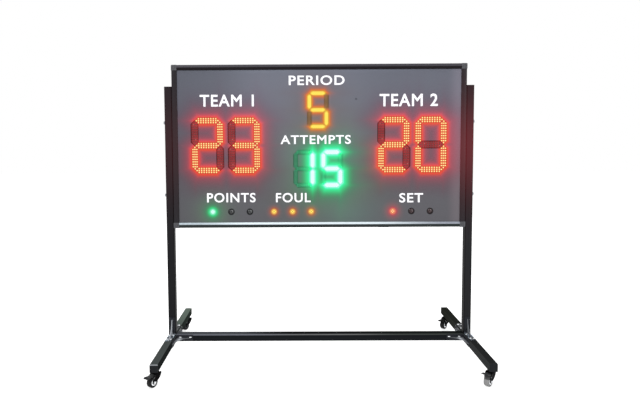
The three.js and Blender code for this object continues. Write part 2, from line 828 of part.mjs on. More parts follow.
// Two curved cheeks under a round crown, with the wheel's axle fixed in them
function forkGeometry() {
  const inner = wheelWidth / 2 + forkSideGap;
  const cheek = new THREE.Shape();
  cheek.moveTo(forkBack, forkTop);
  cheek.lineTo(-crownRadius, forkTop);
  cheek.quadraticCurveTo(-trail - axleBoss, pedalHeight, -trail - axleBoss, wheelRadius);
  cheek.quadraticCurveTo(-trail - axleBoss, wheelRadius - axleBoss, -trail, wheelRadius - axleBoss);
  cheek.quadraticCurveTo(axleBoss - trail, wheelRadius - axleBoss, axleBoss - trail, wheelRadius);
  cheek.quadraticCurveTo(forkBack - axleBoss, wheelRadius + axleBoss, forkBack, pedalHeight);
  cheek.closePath();
  const cheeks = [-1, 1].map((side) => {
    const plate = extruded(cheek, forkPlate, 3);
    const basis = new THREE.Matrix4().makeBasis(
      new THREE.Vector3(0, 1, 0), new THREE.Vector3(0, 0, 1), new THREE.Vector3(1, 0, 0),
    );
    plate.applyMatrix4(basis);
    return plate.translate(side > 0 ? inner : -inner - forkPlate, 0, 0);
  });
  const crown = rodZ(crownRadius, crownThickness, 10, 0, 0, forkTop - crownThickness / 2);
  const axleLength = 2 * (inner + forkPlate + axleCapHeight / 2);
  const axle = rodX(axleRadius, axleLength, 8, 0, -trail, wheelRadius);
  const caps = [-1, 1].map((side) => {
    const x = side * (inner + forkPlate + axleCapHeight / 2);
    return rodX(axleCapRadius, axleCapHeight, 8, x, -trail, wheelRadius);
  });
  const kingpinHole = rodZ(kingpinRadius + runningGap, crownThickness + 2 * overrun, 10, 0, 0, forkTop - crownThickness / 2);
  const pinHole = rodX(pedalPin + runningGap, 2 * (inner + forkPlate + overrun), 8, 0, -pedalBack, pedalHeight);
  return geometryOf(cutFrom(joined([...cheeks, crown, axle, ...caps]), [kingpinHole, pinHole]));
}

// The tread's flats lie on the wheel's radius, so it stands on one of them
function wheelGeometry() {
  const tread = wheelRadius / Math.cos(Math.PI / wheelSides);
  const bore = axleRadius + runningGap;
  const half = wheelWidth / 2;
  const side = [
    [bore, half],
    [hubRadius, half],
    [hubRadius + runningGap * 3, webWidth / 2],
    [tyreInner - runningGap * 3, webWidth / 2],
    [tyreInner, half],
    [tread - (half - tyreCrown / 2), half],
    [tread, tyreCrown / 2],
  ];
  const mirrored = side.map(([r, x]) => [r, -x]).reverse();
  const profile = [...side, ...mirrored, side[0]].map(([r, x]) => new THREE.Vector2(r, x)).reverse();
  const wheel = new THREE.LatheGeometry(profile, wheelSides);
  return wheel.rotateY(Math.PI / wheelSides).rotateZ(Math.PI / 2);
}

// How low the shoe may reach, this far behind the pin, to clear the tread with the pedal pressed
function pressedShoe(behind) {
  const tread = wheelRadius / Math.cos(Math.PI / wheelSides);
  const across = pedalBack + behind - trail;
  const treadTop = wheelRadius + Math.sqrt(tread * tread - across * across);
  const drop = behind * Math.sin(THREE.MathUtils.degToRad(pedalTravel - pedalRaised));
  return treadTop + shoeGap + drop - pedalHeight;
}

// Lever about its pin: barrel, arm between the cheeks, two-lobed pad, and the shoe over the tread
function pedalGeometry() {
  const inner = wheelWidth / 2 + forkSideGap;
  const armWidth = 2 * (inner - forkSideGap / 2);
  const padStart = pedalReach - pedalPadLength;
  const pin = rodX(pedalPin, 2 * (inner + forkPlate), 8);
  const barrel = rodX(pedalBarrel, armWidth, 8);
  const half = pedalPadWidth / 2;
  const pad = new THREE.Shape();
  pad.moveTo(-armWidth / 2, 0);
  pad.lineTo(armWidth / 2, 0);
  pad.lineTo(armWidth / 2, -padStart);
  pad.quadraticCurveTo(half, -padStart, half, pedalLobe - pedalReach);
  pad.quadraticCurveTo(half - pedalLobe, -pedalReach - pedalLobe / 2, 0, pedalLobe / 2 - pedalReach);
  pad.quadraticCurveTo(pedalLobe - half, -pedalReach - pedalLobe / 2, -half, pedalLobe - pedalReach);
  pad.quadraticCurveTo(-half, -padStart, -armWidth / 2, -padStart);
  pad.closePath();
  const plate = extruded(pad, pedalArm, 3).translate(0, 0, -pedalArm / 2);
  const lip = box(pedalPadWidth - 2 * pedalLobe, pedalArm, pedalLip + pedalArm, 0, pedalLobe + pedalArm / 2 - pedalReach, pedalLip / 2);
  const shoeBottom = Math.max(...[-1, 1].map((end) => pressedShoe(shoeOffset + end * shoeLength / 2)));
  const shoe = box(armWidth, shoeLength, -shoeBottom, 0, -shoeOffset, shoeBottom / 2);
  return geometryOf(joined([pin, barrel, plate, lip, shoe]));
}

function castor({ name, side, end, turned, braked }) {
  const whole = new THREE.Group();
  whole.position.set(side * legX, footCentre(end), 0);
  const stem = named(`castor_stem_${name}`, stemGeometry(), 'stem');
  const swivel = new THREE.Group();
  swivel.rotation.z = -THREE.MathUtils.degToRad(turned);
  const fork = named(`castor_fork_${name}`, forkGeometry(), 'castor');
  const wheel = named(`castor_wheel_${name}`, wheelGeometry(), 'wheel');
  wheel.position.set(0, -trail, wheelRadius);
  const pedal = named(`castor_pedal_${name}`, pedalGeometry(), 'pedal');
  pedal.position.set(0, -pedalBack, pedalHeight);
  pedal.rotation.x = -THREE.MathUtils.degToRad(braked ? pedalRaised - pedalTravel : pedalRaised);
  swivel.add(fork, wheel, pedal);
  whole.add(stem, swivel);
  board.add(whole);
}

// Assembly

topRail();
bottomRail();
sideRail('frame_rail_right', 1);
sideRail('frame_rail_left', -1);
cornerBlocks();
frontPanel();
rearPanel();
digitModules();
lampStrips();
powerSupply();
controlBoard();
powerInlet();
crossBar();
braces();
for (const [sideName, side] of [['left', -1], ['right', 1]]) {
  upright(`upright_${sideName}`, side);
  foot(`foot_${sideName}`, side);
  footPlug(`foot_plug_${sideName}_front`, side, -1);
  footPlug(`foot_plug_${sideName}_rear`, side, 1);
  boltBelowTop.forEach((below, index) => {
    boardBolt(`board_bolt_${sideName}_${['upper', 'lower'][index]}`, side, below);
  });
}
castorPlaces.forEach(castor);

export default board;
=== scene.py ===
import json
import math
from functools import reduce

import bpy
from mathutils import Matrix, Vector


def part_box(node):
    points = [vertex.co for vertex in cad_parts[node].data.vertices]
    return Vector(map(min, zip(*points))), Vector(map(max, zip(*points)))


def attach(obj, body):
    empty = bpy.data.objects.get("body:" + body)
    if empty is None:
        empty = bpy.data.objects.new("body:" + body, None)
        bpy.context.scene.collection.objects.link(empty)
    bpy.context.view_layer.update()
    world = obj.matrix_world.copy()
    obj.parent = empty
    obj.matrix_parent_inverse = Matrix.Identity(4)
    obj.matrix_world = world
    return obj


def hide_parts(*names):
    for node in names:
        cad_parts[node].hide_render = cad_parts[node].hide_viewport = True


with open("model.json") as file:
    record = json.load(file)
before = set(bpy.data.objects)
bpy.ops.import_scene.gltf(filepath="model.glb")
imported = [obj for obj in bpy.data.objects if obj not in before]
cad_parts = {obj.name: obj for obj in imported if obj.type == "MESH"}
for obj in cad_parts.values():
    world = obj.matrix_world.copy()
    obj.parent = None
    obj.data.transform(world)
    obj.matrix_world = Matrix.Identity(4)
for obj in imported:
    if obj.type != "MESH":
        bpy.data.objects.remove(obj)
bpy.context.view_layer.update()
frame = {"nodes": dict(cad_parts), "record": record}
print("frame loaded:", len(frame["nodes"]), "nodes")


# selecting and finishing, as by hand in the viewport

def dropSelection():
    if bpy.context.mode != "OBJECT":
        bpy.ops.object.mode_set(mode="OBJECT")
    bpy.ops.object.select_all(action="DESELECT")


def takeUp(*pieces):
    dropSelection()
    for piece in pieces:
        piece.select_set(True)
    bpy.context.view_layer.objects.active = pieces[0]


def added(operator, **values):
    dropSelection()
    operator(**values)
    return bpy.context.object


def editAll(piece):
    takeUp(piece)
    bpy.ops.object.mode_set(mode="EDIT")
    bpy.ops.mesh.select_all(action="SELECT")


def pickParts(piece, mode, parts, wanted):
    # leaves the piece in edit mode with the wanted parts selected
    takeUp(piece)
    bpy.ops.object.mode_set(mode="EDIT")
    bpy.ops.mesh.select_mode(type=mode)
    bpy.ops.mesh.select_all(action="DESELECT")
    bpy.ops.object.mode_set(mode="OBJECT")
    for part in getattr(piece.data, parts):
        part.select = wanted(part)
    bpy.ops.object.mode_set(mode="EDIT")


def pickFaces(piece, wanted):
    # wanted sees the way a face looks
    pickParts(piece, "FACE", "polygons", lambda face: wanted(face.normal))


def pickEdges(piece, wanted):
    # wanted sees both ends of an edge
    pickParts(piece, "EDGE", "edges",
              lambda edge: wanted(*(piece.data.vertices[index].co for index in edge.vertices)))


def same(a, b):
    return abs(a - b) < 1e-6


def applyPlace(piece):
    takeUp(piece)
    bpy.ops.object.transform_apply(location=True, rotation=True, scale=True)


def twinOf(piece, place):
    # a copy moved by a vector or a matrix
    twin = piece.copy()
    twin.data = piece.data.copy()
    bpy.context.collection.objects.link(twin)
    twin.data.transform(place if isinstance(place, Matrix) else Matrix.Translation(place))
    return twin


def joinAll(pieces):
    takeUp(*pieces)
    if len(pieces) > 1:
        bpy.ops.object.join()
    return bpy.context.view_layer.objects.active


def throwAway(*pieces):
    for piece in pieces:
        bpy.data.objects.remove(piece, do_unlink=True)


def settle(pieces, name, body, finish, slotName=None, smoothAngle=40):
    piece = joinAll(pieces)
    applyPlace(piece)
    bpy.ops.object.shade_smooth_by_angle(angle=math.radians(smoothAngle))
    piece.name = name
    piece.data.name = name
    piece.data.materials.clear()
    piece.data.materials.append(finish.material)
    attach(piece, body)
    return piece


def addModifier(piece, kind, **values):
    takeUp(piece)
    bpy.ops.object.modifier_add(type=kind)
    modifier = piece.modifiers[-1]
    for key, value in values.items():
        setattr(modifier, key, value)
    bpy.ops.object.modifier_apply(modifier=modifier.name)


def insetBy(insets):
    for thickness, depth in insets:
        bpy.ops.mesh.inset(thickness=thickness, depth=depth)


def modelDisc(radius, depth, sides, place, insets, axis="Y"):
    # a round piece whose face, towards -X or -Y, is shaped by insets
    turn = (math.pi / 2, 0, 0) if axis == "Y" else (0, math.pi / 2, 0)
    piece = added(bpy.ops.mesh.primitive_cylinder_add, vertices=sides, radius=radius, depth=depth,
                  location=place, rotation=turn)
    applyPlace(piece)
    pickFaces(piece, lambda normal: (normal.x if axis == "X" else normal.y) < -0.9)
    insetBy(insets)
    dropSelection()
    return piece


def startBox(place, size):
    piece = added(bpy.ops.mesh.primitive_cube_add, size=1, location=place)
    piece.scale = size
    applyPlace(piece)
    return piece


bodyOfNode = {node: body for body, nodes in frame["record"]["behaviour"]["bodies"].items()
              for node in nodes}
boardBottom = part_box("frame_rail_bottom")[0].z
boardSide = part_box("frame_rail_right")[1].x


def middleOf(nodeName):
    low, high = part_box(nodeName)
    return (low + high) / 2


def dress(nodeName, finish):
    # the CAD piece stays and only gets its finish
    frame["nodes"][nodeName].material_slots[0].material = finish.material


# materials: one wire class for the maths, one method for every other node

class Wire:
    def __init__(self, finish, socket):
        self.finish = finish
        self.socket = socket

    def maths(self, operation, *others):
        return self.finish.maths(operation, self, *others)

    def __add__(self, other):
        return self.maths("ADD", other)

    def __radd__(self, other):
        return self.finish.maths("ADD", other, self)

    def __sub__(self, other):
        return self.maths("SUBTRACT", other)

    def __rsub__(self, other):
        return self.finish.maths("SUBTRACT", other, self)

    def __mul__(self, other):
        return self.maths("MULTIPLY", other)

    def __rmul__(self, other):
        return self.finish.maths("MULTIPLY", other, self)

    def __abs__(self):
        return self.maths("ABSOLUTE")

    def __lt__(self, other):
        return self.maths("LESS_THAN", other)

    def __gt__(self, other):
        return self.maths("GREATER_THAN", other)

    def orMore(self, other):
        return self.maths("MAXIMUM", other)

    def orLess(self, other):
        return self.maths("MINIMUM", other)

    def falling(self, reach):
        # 1 at zero, about a third at the reach, nothing soon after
        return (self * self * (-1.0 / reach ** 2)).maths("EXPONENT")

    def fading(self, reach):
        # as falling, but with a long tail
        return (self * (-1.0 / reach)).maths("EXPONENT")

    def easing(self, start, end):
        # 0 before the start, 1 after the end
        return self.finish.node("ShaderNodeMapRange", {"interpolation_type": "SMOOTHSTEP"},
                                {0: self, 1: start, 2: end})


class Finish:
    def __init__(self, name, world=None):
        self.material = world or bpy.data.materials.new(name)
        self.material.use_nodes = True
        if world is None:
            self.material.cycles.emission_sampling = "NONE"
        self.tree = self.material.node_tree
        self.tree.nodes.clear()
        self.place = None

    def node(self, kind, settings=None, inputs=None, output=0):
        made = self.tree.nodes.new(kind)
        for key, value in (settings or {}).items():
            setattr(made, key, value)
        for key, value in (inputs or {}).items():
            if isinstance(value, Wire):
                self.tree.links.new(value.socket, made.inputs[key])
            else:
                made.inputs[key].default_value = value
        return Wire(self, made.outputs[output] if made.outputs else None)

    def maths(self, operation, *values):
        return self.node("ShaderNodeMath", {"operation": operation}, dict(enumerate(values)))

    def spot(self):
        if self.place is None:
            self.place = self.node("ShaderNodeTexCoord", output="Object")
        return self.place

    def parted(self, vector):
        outputs = self.node("ShaderNodeSeparateXYZ", None, {0: vector}).socket.node.outputs
        return [Wire(self, outputs[index]) for index in range(3)]

    def axes(self):
        return self.parted(self.spot())

    def askew(self):
        # 0 on faces square to the axes, more on edges and slopes
        sideways, forth, up = self.parted(self.node("ShaderNodeTexCoord", output="Normal"))
        return 1 - abs(sideways).orMore(abs(forth)).orMore(abs(up))

    def noise(self, scale, detail=3.0, roughness=0.55, stretch=(1.0, 1.0, 1.0)):
        spread = self.node("ShaderNodeVectorMath", {"operation": "MULTIPLY"}, {0: self.spot(), 1: stretch})
        return self.node("ShaderNodeTexNoise", None,
                         {"Vector": spread, "Scale": scale, "Detail": detail, "Roughness": roughness}, "Fac")

    def mixed(self, first, second, share, blend="MIX"):
        return self.node("ShaderNodeMix", {"data_type": "RGBA", "blend_type": blend},
                         {0: share, 6: first, 7: second}, 2)

    def toned(self, colour, *layers):
        # darkens or tints a colour by each factor, where its share says so
        for factor, share in layers:
            colour = self.mixed(colour, factor, share, "MULTIPLY")
        return colour

    def colourOf(self, red, green, blue):
        return self.node("ShaderNodeCombineColor", None, {0: red, 1: green, 2: blue})

    def bumpOf(self, height, strength, distance):
        return self.node("ShaderNodeBump", None,
                         {"Height": height, "Strength": strength, "Distance": distance}, "Normal")

    def surface(self, base, rough, shine=0.5, glow=None, bump=None, **values):
        values.update(Base_Color=base, Roughness=rough, Specular_IOR_Level=shine)
        if glow is not None:
            values.update(Emission_Color=glow, Emission_Strength=1.0)
        if bump:
            values["Normal"] = self.bumpOf(*bump)
        inputs = {key.replace("_", " "): value for key, value in values.items()}
        self.ending(self.node("ShaderNodeBsdfPrincipled", None, inputs))
        return self

    def seenBy(self, *rays):
        return reduce(Wire.orMore, [self.node("ShaderNodeLightPath", output=f"Is {ray} Ray") for ray in rays])

    def ending(self, shader, kind="ShaderNodeOutputMaterial"):
        self.node(kind, None, {"Surface": shader})


def tone(red, green, blue):
    # a colour as a painter reads it off a chart, 0 to 255
    return [((c / 255) / 12.92 if c / 255 <= 0.04045 else ((c / 255 + 0.055) / 1.055) ** 2.4)
            for c in (red, green, blue)] + [1.0]


def grey(level):
    return (level, level, level, 1.0)


def mottledFinish(name, first, second, scale, rough, detail=3.0, bump=None, **values):
    # two tones in a cloud, and a bump of the same cloud where one is given
    finish = Finish(name)
    cloud = finish.noise(scale, detail)
    base = finish.mixed(tone(*first), tone(*second), cloud)
    return finish.surface(base, rough, bump=bump and (cloud, *bump), **values)


def zincFinish(name="bright zinc", light=(214, 218, 222), dark=(168, 172, 178)):
    return mottledFinish(name, light, dark, 420.0, 0.24, bump=(0.05, 0.0002), Metallic=0.9)


# how the digits are laid out and which of their segments are lit

largeDigit = {"width": 0.1165, "height": 0.229, "bar": 0.029, "gap": 0.004, "rim": 3.6,
              "pitch": 0.0114, "rows": 0.0090, "glints": ((-0.0052, 0.0395), (0.0045, -0.0295))}
smallDigit = {"width": 0.078, "height": 0.152, "bar": 0.019, "gap": 0.004, "rim": 1.4,
              "pitch": 0.0104, "rows": 0.0056, "glints": ((0.0, 0.0155), (0.0, -0.0155))}

# segments run top, middle, bottom, upper left, upper right, lower left, lower right
litSegments = {"0": (0, 2, 3, 4, 5, 6), "1": (4, 6), "2": (0, 1, 2, 4, 5), "3": (0, 1, 2, 4, 6),
               "5": (0, 1, 2, 3, 6)}

digits = {
    "left_tens": {"kind": largeDigit, "shows": "2", "light": "red"},
    "left_units": {"kind": largeDigit, "shows": "3", "light": "red"},
    "right_tens": {"kind": largeDigit, "shows": "2", "light": "red"},
    "right_units": {"kind": largeDigit, "shows": "0", "light": "red"},
    "upper": {"kind": smallDigit, "shows": "5", "light": "yellow"},
    "lower_tens": {"kind": smallDigit, "shows": "1", "light": "green"},
    "lower_units": {"kind": smallDigit, "shows": "5", "light": "green"},
}

lamps = {
    "left": {"light": "green", "lit": (0,)},
    "middle": {"light": "amber", "lit": (0, 1, 2)},
    "right": {"light": "red", "lit": (0,)},
}

lampPitch = 0.086


def segmentsOf(kind, middle):
    width, height, gap = kind["width"], kind["height"], kind["gap"]
    level = (width - gap) / 2
    upright = (height / 2 - gap) / 2
    places = [(0, rise, level, False) for rise in (height / 2, 0, -height / 2)]
    places += [(side, rise, upright, True) for rise in (height / 4, -height / 4)
               for side in (-width / 2, width / 2)]
    return [{"x": middle.x + x, "z": middle.z + z, "tip": tip, "standing": standing, "bar": kind["bar"]}
            for x, z, tip, standing in places]


for digitName, digit in digits.items():
    digit["middle"] = middleOf("digit_" + digitName)
    digit["segments"] = segmentsOf(digit["kind"], digit["middle"])
    digit["litOnes"] = [digit["segments"][index] for index in litSegments[digit["shows"]]]
    digit["darkOnes"] = [segment for segment in digit["segments"] if segment not in digit["litOnes"]]

for stripName, strip in lamps.items():
    stripMiddle = middleOf("lamp_strip_" + stripName)
    strip["places"] = [(stripMiddle.x + step * lampPitch, stripMiddle.z) for step in (-1, 0, 1)]


def awayFromSegment(across, up, segment):
    # millimetres from a pointed bar, less than zero inside it
    sideways, along = abs(across - segment["x"]), abs(up - segment["z"])
    if segment["standing"]:
        sideways, along = along, sideways
    return (along - segment["bar"] / 2).orMore((sideways + along - segment["tip"]) * 0.7071) * 1000.0


def awayFromSpot(across, up, x, z):
    return ((across - x) * (across - x) + (up - z) * (up - z)).maths("SQRT") * 1000.0


def nearest(distances):
    return reduce(Wire.orLess, distances)


# the painted front sheet, with the light of the digits spread on it

# tones of the sheet: lower to upper is painted light, lighter towards the top; edge, the side shades and the
# rims are painted shade and light; the light tints and rings are the painted light of the digits and lamps
panelLook = {
    "lower": tone(97, 96, 101),
    "upper": tone(116, 119, 131),
    "rise": (0.05, 0.69),
    "edge": grey(0.90),
    "rightSideShade": grey(0.84),
    "leftSideShade": grey(0.76),
    "rightRimLight": (1.34, 1.24, 1.24, 1.0),
    "topRimLight": (1.13, 1.15, 1.15, 1.0),
    "grain": (0.90, 0.90, 0.92, 1.0),
    "redLightTint": (1.0, 0.61, 0.71, 1.0),
    "yellowLightTint": (1.0, 0.84, 0.80, 1.0),
    "yellowLightRing": (1.0, 0.90, 0.22, 1.0),
    "greenLightTint": (0.32, 0.92, 0.95, 1.0),
    "redLightRing": (1.0, 0.96, 0.42, 1.0),
    "ringDrop": 0.004,
    "rims": {"red": tone(34, 22, 24), "yellow": tone(44, 40, 34), "green": tone(30, 48, 38)},
    "back": tone(52, 54, 56),
    "skin": 0.0008,
}

# which light, how it dies away, its reach in millimetres and its share
panelGlow = {
    "red": (("red", "falling", 13.5, 0.50), ("red", "falling", 42.0, 0.205), ("red", "falling", 3.0, 0.09),
            ("yellow", "falling", 9.0, 0.45), ("yellow", "falling", 23.0, 0.225),
            ("green", "falling", 4.0, 0.36), ("green", "falling", 9.0, 0.03)),
    "green": (("green", "falling", 26.0, 0.645), ("green", "fading", 58.0, 0.225),
              ("yellow", "falling", 4.0, 0.19), ("yellow", "falling", 13.0, 0.01)),
    "blue": (("green", "falling", 6.0, 0.48), ("green", "falling", 22.0, 0.22)),
}


def litFields(across, up):
    fields = {"red": [], "yellow": [], "green": []}
    for digit in digits.values():
        for segment in digit["litOnes"]:
            fields[digit["light"]].append(awayFromSegment(across, up, segment))
    for strip in lamps.values():
        light = "yellow" if strip["light"] == "amber" else strip["light"]
        steepness, start = lampLook[strip["light"]]["field"]
        for index in strip["lit"]:
            fields[light].append(awayFromSpot(across, up, *strip["places"][index]) * steepness - start)
    return {light: nearest(found).orMore(0.0) for light, found in fields.items()}


def rimOf(across, up, light):
    # the dark border of the segments that are out
    found = [awayFromSegment(across, up, segment) - digit["kind"]["rim"]
             for digit in digits.values() if digit["light"] == light for segment in digit["darkOnes"]]
    return nearest(found).easing(0.6, -0.6)


def panelFinish():
    finish, look = Finish("painted sheet"), panelLook
    across, depth, up = finish.axes()
    low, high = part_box("front_panel")
    front = depth < low.y + look["skin"]
    away = litFields(across, up)
    grain = finish.noise(900.0, 2.0)
    height = up - boardBottom
    # painted light: the sheet grows lighter towards the top
    rise = height.easing(*look["rise"])
    base = finish.mixed(look["lower"], look["upper"], rise)
    # painted light: the digits tint the sheet more widely than the lamps below them
    upper = height.easing(0.10, 0.17)
    # the painted ring of light right round a red bar is deeper below it than above it
    ring = nearest([awayFromSegment(across, up + look["ringDrop"], segment)
                    for digit in digits.values() if digit["light"] == "red" for segment in digit["litOnes"]])
    # painted shade at the left edge and the upper sides, painted light along the right and top rims, and the
    # painted light of the digits and lamps tinting the sheet
    base = finish.toned(
        base,
        (look["edge"], across.easing(-0.44, -0.66)),
        (look["rightSideShade"], across.easing(0.05, 0.35) * rise),
        (look["leftSideShade"], across.easing(-0.25, -0.50) * rise),
        (look["rightRimLight"], across.easing(0.585, 0.640)),
        (look["topRimLight"], (up - high.z).easing(-0.035, -0.005) * abs(across).easing(0.55, 0.30)),
        (look["grain"], grain * 0.25),
        (look["redLightTint"], away["red"].falling(85.0) * upper + away["red"].falling(28.0) * (1 - upper)),
        (look["yellowLightTint"], away["yellow"].falling(85.0) * (upper * 0.85 + 0.15)),
        (look["yellowLightRing"], away["yellow"].falling(16.0)),
        (look["greenLightTint"], away["green"].falling(55.0)),
        (look["redLightRing"], ring.orMore(0.0).falling(9.5)))
    shaded = front
    for light, rimTone in look["rims"].items():
        rim = rimOf(across, up, light)
        base = finish.mixed(base, rimTone, rim)
        shaded = shaded - rim * 0.55
    channels = {}
    for channel, rows in panelGlow.items():
        channels[channel] = sum(getattr(away[light], way)(reach) * share for light, way, reach, share in rows)
    # the light gathers in the frame's right corner, and some green falls below the middle
    corner = across.easing(0.57, 0.63) * (height - redOnMetal["height"]).falling(0.15)
    below = abs(across - 0.13).falling(0.14) * (height - 0.06).falling(0.075)
    glow = finish.colourOf((channels["red"] + corner * 0.09) * shaded * front,
                           (channels["green"] + below * 0.036) * shaded * front,
                           (channels["blue"] + below * 0.026) * shaded * front)
    return finish.surface(finish.mixed(look["back"], base, front), 0.6, 0.12, glow, (grain, 0.06, 0.0004))


# light bars and circuit boards of a digit

# spill, spillReach and spillFloor paint light from the lit segments on the dark ones, and glint paints
# highlights on them
barLook = {
    "red": {"dot": tone(255, 230, 126), "lit": tone(218, 56, 21), "dotSize": 0.0026,
            "unlit": tone(52, 24, 27), "slat": tone(15, 9, 10), "spot": tone(86, 38, 40),
            "spill": (0.50, 0.030, 0.026), "spillReach": 30.0, "spillFloor": (0.115, 0.006, 0.009),
            "glint": tone(220, 128, 118)},
    "yellow": {"dot": tone(255, 248, 76), "lit": tone(245, 170, 18), "dotSize": 0.0034,
               "unlit": tone(48, 42, 32), "slat": tone(30, 26, 22), "spot": tone(104, 92, 66),
               "spill": (0.50, 0.140, 0.008), "spillReach": 16.0, "spillFloor": (0.100, 0.056, 0.020),
               "glint": tone(226, 208, 168)},
    "green": {"dot": tone(222, 255, 255), "lit": tone(200, 254, 250), "dotSize": 0.0040,
              "unlit": tone(14, 37, 27), "slat": tone(8, 24, 19), "spot": tone(70, 172, 128),
              "spill": (0.0, 2.25, 0.66), "spillReach": 19.0, "spillFloor": (0.010, 0.036, 0.022),
              "glint": tone(160, 214, 166)},
}

frontFace = -0.0128     # in front of this a digit's bars shine
boardFace = -0.0050     # behind this a module is bare circuit board


def latticeOf(kind, across, up, size):
    # rows of diodes along the segment that a point lies nearest to, folded about the digit's middle
    offUpright, alongUpright = abs(across - kind["width"] / 2), abs(up - kind["height"] / 4)
    offLevel = up.orLess(abs(up - kind["height"] / 2))
    standing = offUpright < offLevel
    off = offUpright.orLess(offLevel)
    along = alongUpright * standing + across * (1 - standing)
    phase = abs((along * (1 / kind["pitch"])).maths("FRACT") - 0.5)
    halfStep, wholeStep = phase * kind["pitch"], (0.5 - phase) * kind["pitch"]
    outer = abs(off - kind["rows"])
    if kind is largeDigit:
        row = off.orLess(outer)
        distance = halfStep * halfStep + row * row * 0.45
    else:
        distance = (halfStep * halfStep + off * off).orLess(wholeStep * wholeStep + outer * outer)
    slats = halfStep.falling(kind["pitch"] * 0.22)
    return (distance * (-1.0 / size ** 2)).maths("EXPONENT"), slats


def digitFinish(digitName):
    digit = digits[digitName]
    kind, look, middle = digit["kind"], barLook[digit["light"]], digit["middle"]
    finish = Finish("light bars " + digitName)
    across, depth, up = finish.axes()
    away = nearest([awayFromSegment(across, up, segment) for segment in digit["litOnes"]])
    kin = [segment for other in digits.values() if other["light"] == digit["light"] and other is not digit
           and abs(other["middle"].x - middle.x) < 0.3 for segment in other["litOnes"]]
    around = nearest([away] + [awayFromSegment(across, up, segment) for segment in kin]).orMore(0.0)
    front, inFront = depth < frontFace, depth < boardFace
    dots, slats = latticeOf(kind, abs(across - middle.x), abs(up - middle.z), look["dotSize"])
    unlit = finish.mixed(finish.mixed(look["unlit"], look["slat"], slats), look["spot"], dots)
    board = finish.mixed(tone(22, 58, 42), tone(14, 40, 30), finish.noise(300.0))
    lit = away.easing(0.2, -1.6) * front
    base = finish.mixed(finish.mixed(board, unlit, inFront), grey(0.02), lit)
    # painted light: what the lit segments throw on the others, over a faint glow on all the bars
    fall = around.fading(look["spillReach"]) * (0.80 - slats * 0.6 + dots * 0.55)
    channels = [fall * reach + floor for reach, floor in zip(look["spill"], look["spillFloor"])]
    glow = finish.mixed(grey(0.0), finish.colourOf(*channels), inFront)
    # painted glints: pale highlights on the dark segments
    glints = []
    for segment in digit["darkOnes"]:
        for off, along in kind["glints"]:
            x, z = (off, along) if segment["standing"] else (along, off)
            glints.append(awayFromSpot(across, up, segment["x"] + x, segment["z"] + z))
    glow = finish.mixed(glow, look["glint"], nearest(glints).falling(1.9) * front * 0.8)
    glow = finish.mixed(glow, finish.mixed(look["lit"], look["dot"], dots), lit)
    return finish.surface(base, 0.45, 0.2, glow)


# diodes: what they look like lit and out

diodeLook = {
    "red": (tone(255, 240, 150), tone(96, 26, 30)),
    "yellow": (tone(255, 250, 100), tone(92, 72, 40)),
    "green": (tone(240, 255, 255), tone(34, 92, 60)),
}

diode = {"radius": 0.0025, "base": 0.0009, "dome": 0.0011, "sides": 8, "face": -0.0137, "endColumn": 0.0486}


def litFinish(name, colour):
    finish = Finish(name)
    shine = finish.toned(colour, ((1.0, 0.96, 0.92, 1.0), finish.noise(700.0, 1.0) * 0.35))
    lens = [channel * 0.1 + 0.09 for channel in colour[:3]] + [1.0]
    return finish.surface(lens, 0.25, glow=shine)


def clearFinish(name, colour):
    finish = Finish(name)
    return finish.surface(finish.toned(colour, (grey(0.5), finish.noise(500.0, 1.0))), 0.18, Coat_Weight=0.3)


def modelDiode():
    radius, dome = diode["radius"], diode["dome"]
    return modelDisc(radius, diode["base"], diode["sides"], (0, -diode["base"] / 2, 0),
                     ((radius * 0.24, dome * 0.62), (radius * 0.34, dome * 0.38)))


def arrayed(source, place, count, step):
    row = twinOf(source, place)
    addModifier(row, "ARRAY", count=count, use_relative_offset=False, use_constant_offset=True,
                constant_offset_displace=step)
    return row


def largeCluster(source):
    # three rows of eight, and one diode at each pointed end
    pitch, rows = largeDigit["pitch"], largeDigit["rows"]
    row = arrayed(source, (-3.5 * pitch, 0, -rows), 8, (pitch, 0, 0))
    block = arrayed(row, (0, 0, 0), 3, (0, 0, rows))
    throwAway(row)
    ends = [twinOf(source, (side * diode["endColumn"], 0, 0)) for side in (-1, 1)]
    return joinAll([block, *ends])


def smallCluster(source):
    # five, six, five, each row shifted by half a step
    pitch, rows = smallDigit["pitch"], smallDigit["rows"]
    outer = [arrayed(source, (-2 * pitch, 0, up), 5, (pitch, 0, 0)) for up in (-rows, rows)]
    middle = arrayed(source, (-2.5 * pitch, 0, 0), 6, (pitch, 0, 0))
    return joinAll([middle, *outer])


def segmentPlace(segment):
    turn = Matrix.Rotation(math.pi / 2, 4, "Y") if segment["standing"] else Matrix.Identity(4)
    return Matrix.Translation((segment["x"], diode["face"], segment["z"])) @ turn


def dressDigits():
    source = modelDiode()
    large = largeCluster(source)
    small = smallCluster(source)
    finishes = {}
    for light, (lit, unlit) in diodeLook.items():
        finishes[light, "litOnes"] = litFinish("lit diode " + light, lit)
        finishes[light, "darkOnes"] = clearFinish("dark diode " + light, unlit)
    for digitName, digit in digits.items():
        cluster = large if digit["kind"] is largeDigit else small
        for group, word in (("litOnes", "lit"), ("darkOnes", "dark")):
            parts = [twinOf(cluster, segmentPlace(segment)) for segment in digit[group]]
            settle(parts, f"diodes_{digitName}_{word}", "stand", finishes[digit["light"], group],
                   digit["light"] + "_module", 60)
        dress("digit_" + digitName, digitFinish(digitName))
    throwAway(large, small)
    print("digits dressed")
    return source


# count lamps: the cups, their diodes and a thin bezel each

